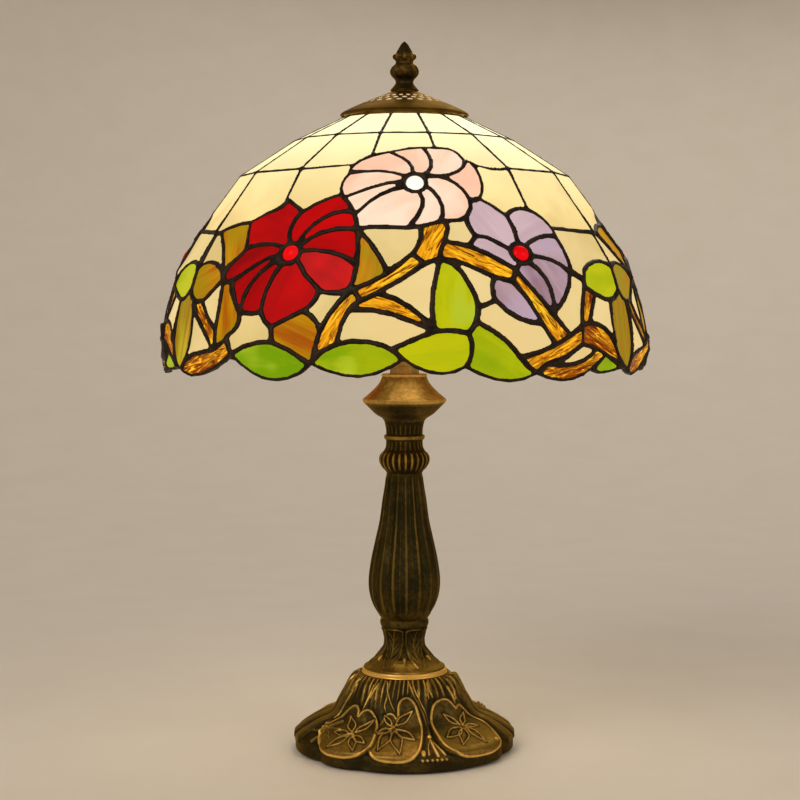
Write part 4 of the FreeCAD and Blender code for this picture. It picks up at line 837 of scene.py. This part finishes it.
# Tone of each piece of one repeat: azimuth, distance down the shade, tone from dark to light
TONES = {
    "pink_petals": [(3, 60, 0.5), (14, 62, 0.5), (20.5, 80, 0.3), (13, 98, 0.55), (6.5, 106, 0.7),
                    (-4, 105, 0.75), (-12.5, 96, 0.85), (-13, 82, 0.6), (-10, 66, 0.6)],
    "red_petals": [(-37, 115, 0.6), (-25.5, 106, 0.7), (-17, 112, 0.9), (-16, 127, 0.6), (-16, 147, 1.0),
                   (-27, 158, 0.6), (-35.5, 160, 0.45), (-40.5, 156, 0.2), (-39, 135, 0.3)],
    "lilac_petals": [(22, 110, 0.9), (35, 112, 0.85), (37, 130, 0.6), (38, 153, 0.35), (32, 153, 0.15),
                     (20.5, 130, 0.8), (24, 160, 0.35)],
    "green_leaves": [(-30, 197, 0.1), (-10, 195, 0.3), (8, 192, 0.85), (20, 195, 0.65), (10.5, 162, 0.95),
                     (51, 200, 0.25), (53, 150, 0.95)],
    "branch_glass": [(9, 124, 1.0), (0, 138, 0.85), (-10, 158, 0.6), (18, 132, 0.8), (30, 146, 0.6),
                     (34, 172, 0.5), (4, 160, 0.4), (-18, 185, 0.5), (42, 192, 0.3), (56, 185, 0.1),
                     (52, 203, 0.1), (-44, 198, 0.05), (57, 160, 0.2)],
    "amber_leaves": [(-50, 122, 0.6), (-44, 168, 0.5), (-23.5, 178, 0.25), (-8.5, 140, 0.85),
                     (-54, 150, 0.5)],
}
# Section of the shade: distance down it, and height there
SECTION = ([-1.3, 32, 73, 117.4, 133.9, 152, 177.7, 188.9, 199, 211],
           [399.2, 384.7, 362.3, 326.5, 313, 296, 271, 260, 250, 238])
REPEAT = 120    # degrees


def separate(count, edges):
    """Which separate piece each vertex belongs to."""
    labels = np.arange(count)
    while True:
        before = labels.copy()
        lowest = np.minimum(labels[edges[:, 0]], labels[edges[:, 1]])
        np.minimum.at(labels, edges[:, 0], lowest)
        np.minimum.at(labels, edges[:, 1], lowest)
        labels = labels[labels]
        if (labels == before).all():
            return labels


def tone_at(node, centre, chance):
    """Tone of a piece of glass: the nearest one in the table, or chance where there is no table."""
    if node not in TONES:
        return chance
    azimuth = math.degrees(math.atan2(centre[0], -centre[1]))
    table = np.array(TONES[node])
    off = (table[:, 0] - azimuth + REPEAT / 2) % REPEAT - REPEAT / 2
    level = np.interp(table[:, 1], *SECTION)
    nearest = np.argmin((off * 2.4) ** 2 + (level - centre[2] * 1000) ** 2)
    return table[nearest, 2] + 0.12 * (chance - 0.5)


def panes(node, slot, material, widen=0.0):
    """The glass of one node, each piece let a little under the came, with its grain and tone."""
    data = NODES[node].data.copy()
    mesh = bmesh.new()
    mesh.from_mesh(data)
    bmesh.ops.remove_doubles(mesh, verts=mesh.verts, dist=1e-6)
    mesh.to_mesh(data)
    mesh.free()
    places = vectors(data, "co").astype(float)
    count = len(places)
    edges = np.empty(len(data.edges) * 2, np.int32)
    data.edges.foreach_get("vertices", edges)
    labels = separate(count, edges.reshape(-1, 2))
    chances = np.random.default_rng(len(node) * 31 + count)
    grain = np.zeros((count, 3))
    tone = np.zeros(count)
    for label in np.unique(labels):
        own = labels == label
        centre = places[own].mean(0)
        _, _, axes = np.linalg.svd(places[own] - centre, full_matrices=False)
        axes = axes * np.where(axes[:, 2] < 0, -1, 1)[:, None]
        local = (places[own] - centre) @ axes.T
        chance = chances.random()
        grain[own] = local + np.array([0.31, 0.17, 0.23]) * chance * 7
        tone[own] = tone_at(node, centre, chance)
        flat = local * (1, 1, 0)
        length = np.linalg.norm(flat, axis=1)[:, None]
        places[own] += (flat / np.maximum(length, 1e-6) * widen) @ axes
    move(data, places)
    store(data, "grain", "FLOAT_VECTOR", "vector", grain)
    store(data, "tone", "FLOAT", "value", tone)
    dress(data, material)
    data.shade_flat()
    data.update()
    add_piece(node + "_lit", data, "shade", slot, node)


COURSES = ["first_course_glass", "second_course_glass", "third_course_glass"]
CLEAR = {"close": (255, 246, 194), "grain": (30, 30, 1), "streak": 0.35}
# Slot, dark and pale colour, patches, and the levels near the bulb and far from it
GLASS = {
    "pink_petals": ("pink", (250, 200, 166), (255, 230, 202), (248, 192, 162), 1.02, 0.95,
                    {"grain": (16, 60, 1), "streak": 0.4}),
    "red_petals": ("red", (122, 2, 6), (206, 3, 6), (170, 2, 4), 1.0, 1.0, {"streak": 0.18}),
    "lilac_petals": ("lilac", (144, 110, 122), (212, 182, 188), (184, 158, 176), 1.0, 0.97,
                     {"streak": 0.16}),
    "green_leaves": ("green", (116, 154, 2), (190, 190, 8), (176, 190, 40), 1.0, 0.98,
                     {"grain": (20, 60, 1), "streak": 0.28}),
    "amber_leaves": ("amber", (166, 80, 2), (196, 144, 2), (150, 128, 4), 1.0, 0.97,
                     {"grain": (12, 110, 1)}),
    "bud_stalks": ("stalk", (164, 112, 12), (152, 148, 20), (190, 170, 30), 1.0, 0.95,
                   {"grain": (8, 260, 1), "streak": 0.6}),
    "branch_glass": ("branch", (150, 66, 2), (255, 172, 20), (255, 190, 34), 1.1, 1.0,
                     {"grain": (20, 90, 1), "rough": 0.2, "ripple": 0.8}),
    "white_jewels": ("jewel_white", (255, 246, 214), (255, 252, 236), (255, 250, 230), 1.1, 1.05,
                     {"rough": 0.06}),
    "red_jewels": ("jewel_red", (196, 0, 8), (230, 4, 12), (236, 20, 24), 1.1, 1.05, {"rough": 0.06}),
}


def all_glass():
    course = pane("glass_course", (236, 206, 134), (248, 224, 150), (228, 198, 130), 1.16, 0.94, **CLEAR)
    for node in COURSES:
        panes(node, "cream", course, 0.3 * MM)
    panes("ground_glass", "cream",
          pane("glass_ground", (222, 194, 124), (236, 210, 146), (228, 198, 134), 1.06, 0.98, **CLEAR))
    for node, (slot, dark, pale, patch, near, far, settings) in GLASS.items():
        panes(node, slot, pane("glass_" + slot, dark, pale, patch, near, far, **settings))


# -------- materials of the carried-over pieces

def finish_nodes():
    assign(bronze("bronze_washer", None, (0.9, 0.8, 0.6)), "finial_washer")
    assign(metal("brass_satin", (192, 152, 86), (164, 126, 68)),
           "harp_saddle", "harp_loop", "harp_stud", "socket_cap", "socket_shell", "screw_shell",
           "centre_contact", "terminal_screws", "shade_wheel", "cap_spacer", "rest_washer", "column_nut")
    assign(metal("zinc_steel", (176, 176, 170), (128, 126, 120), 0.35), "lamp_pipe", "base_nut",
           "base_washer")
    assign(metal("tungsten", (255, 210, 140), (220, 150, 80), 0.4), "bulb_filament", "filament_supports")
    assign(metal("bulb_cap_alloy", (196, 196, 196), (150, 148, 144), 0.28, (1, 1, 30)),
           "bulb_screw_cap", "bulb_tip_contact")
    assign(metal("cast_iron", (60, 56, 52), (34, 31, 29), 0.6, metallic=0.8), "base_weight")
    assign(plain("felt_green", (44, 52, 38), (28, 34, 26), 0.95, 260, 0.8), "felt_pad")
    assign(plain("phenolic", (30, 24, 20), (16, 13, 12), 0.3, 60, 0.1), "cord_bushing", "socket_core")
    assign(plain("card_sleeve", (150, 128, 96), (118, 98, 72), 0.8, 300, 0.4), "socket_sleeve")
    assign(plain("vitrite", (18, 14, 18), (34, 26, 34), 0.15, 80, 0.1), "bulb_insulator")
    for name, node, strength in (("bulb_frost", "bulb_envelope", 1.5), ("stem_glass", "bulb_stem", 0.6)):
        shader = Shader(name)
        cloud = shader.noise(shader.place(), 60, 3)
        dim = shader.ramp(shader.vector("DISTANCE", shader.place(), BULB), 0.03, 0.062)
        colour = shader.mix(shader.ramp(cloud, 0.3, 0.7), (255, 236, 196), (255, 244, 216))
        colour = shader.mix(dim, colour, (255, 206, 132))
        level = shader.math("MULTIPLY", strength, shader.ramp(dim, 0.0, 1.0, 1.0, 0.5))
        shader.surface(Base_Color=(240, 236, 226), Roughness=0.3, Emission_Color=colour,
                       Emission_Strength=level, Normal=shader.bump(cloud, 0.05, 0.001))
        assign(shader.material, node)


# -------- stage, light and camera

def stage():
    """Pale floor that sweeps up far out, the same all the way round."""
    flat, sweep, rings, columns = 1.0, 2.4, 6, 96
    section = [(flat * (ring + 1) / rings, 0.0) for ring in range(rings)]
    for slope in np.radians(range(5, 91, 5)):
        section.append((flat + sweep * math.sin(slope), sweep * (1 - math.cos(slope))))
    points = [(0.0, 0.0, 0.0)]
    for radius, level in section:
        for turn in np.arange(columns) * 2 * math.pi / columns:
            points.append((radius * math.cos(turn), radius * math.sin(turn), level))
    faces = [(0, 1 + k, 1 + (k + 1) % columns) for k in range(columns)]
    for start in range(1, len(points) - columns, columns):
        for k in range(columns):
            near, after = start + k, start + (k + 1) % columns
            faces.append((near, near + columns, after + columns, after))
    data = bpy.data.meshes.new("studio_floor")
    data.from_pydata(points, [], faces)
    data.shade_smooth()
    shader = Shader("studio_floor")
    grain = shader.noise(shader.place(), 14, 4)
    shader.surface(Base_Color=shader.mix(grain, (222, 212, 198), (230, 222, 210)), Roughness=0.75)
    data.materials.append(shader.material)
    link("studio_floor", data)


def light(name, kind, place, energy, colour, **settings):
    data = bpy.data.lights.new(name, kind)
    data.energy = energy
    data.color = colour
    for key, value in settings.items():
        setattr(data, key, value)
    item = link(name, data)
    item.location = place
    if kind == "AREA":
        item.rotation_euler = (Vector((0, 0, 0.2)) - Vector(place)).to_track_quat("-Z", "Y").to_euler()
    return item


def lights():
    lamp = light("bulb_light", "POINT", BULB, 9.0, (1.0, 0.80, 0.54), shadow_soft_size=0.0312)
    lamp.visible_camera = False
    light("key", "AREA", (-1.4, -1.9, 1.9), 28, (1.0, 0.95, 0.88), size=1.6)
    light("fill", "AREA", (1.9, -1.3, 1.1), 12, (1.0, 0.94, 0.86), size=1.8)
    light("back", "AREA", (0.4, 2.0, 2.0), 14, (1.0, 0.95, 0.88), size=1.8)
    world = bpy.data.worlds.new("studio")
    bpy.context.scene.world = world
    world.use_nodes = True
    background = world.node_tree.nodes["Background"]
    background.inputs[0].default_value = rgb(206, 196, 184)
    background.inputs[1].default_value = 0.4


def camera():
    """The photograph's view: from in front and a little above the middle, looking slightly down."""
    data = bpy.data.cameras.new("camera")
    data.lens = 81
    data.sensor_width = 36
    data.clip_start = 0.05
    item = link("camera", data)
    item.location = (-0.0028, -1.137, 0.2919)
    item.rotation_euler = (math.radians(86.5), 0, 0)
    bpy.context.scene.camera = item


foot()
collar()
baluster()
neck()
cup()
finial()
cap()
came_network()
all_glass()
finish_nodes()
stage()
lights()
camera()
bpy.context.scene.view_settings.view_transform = "Standard"
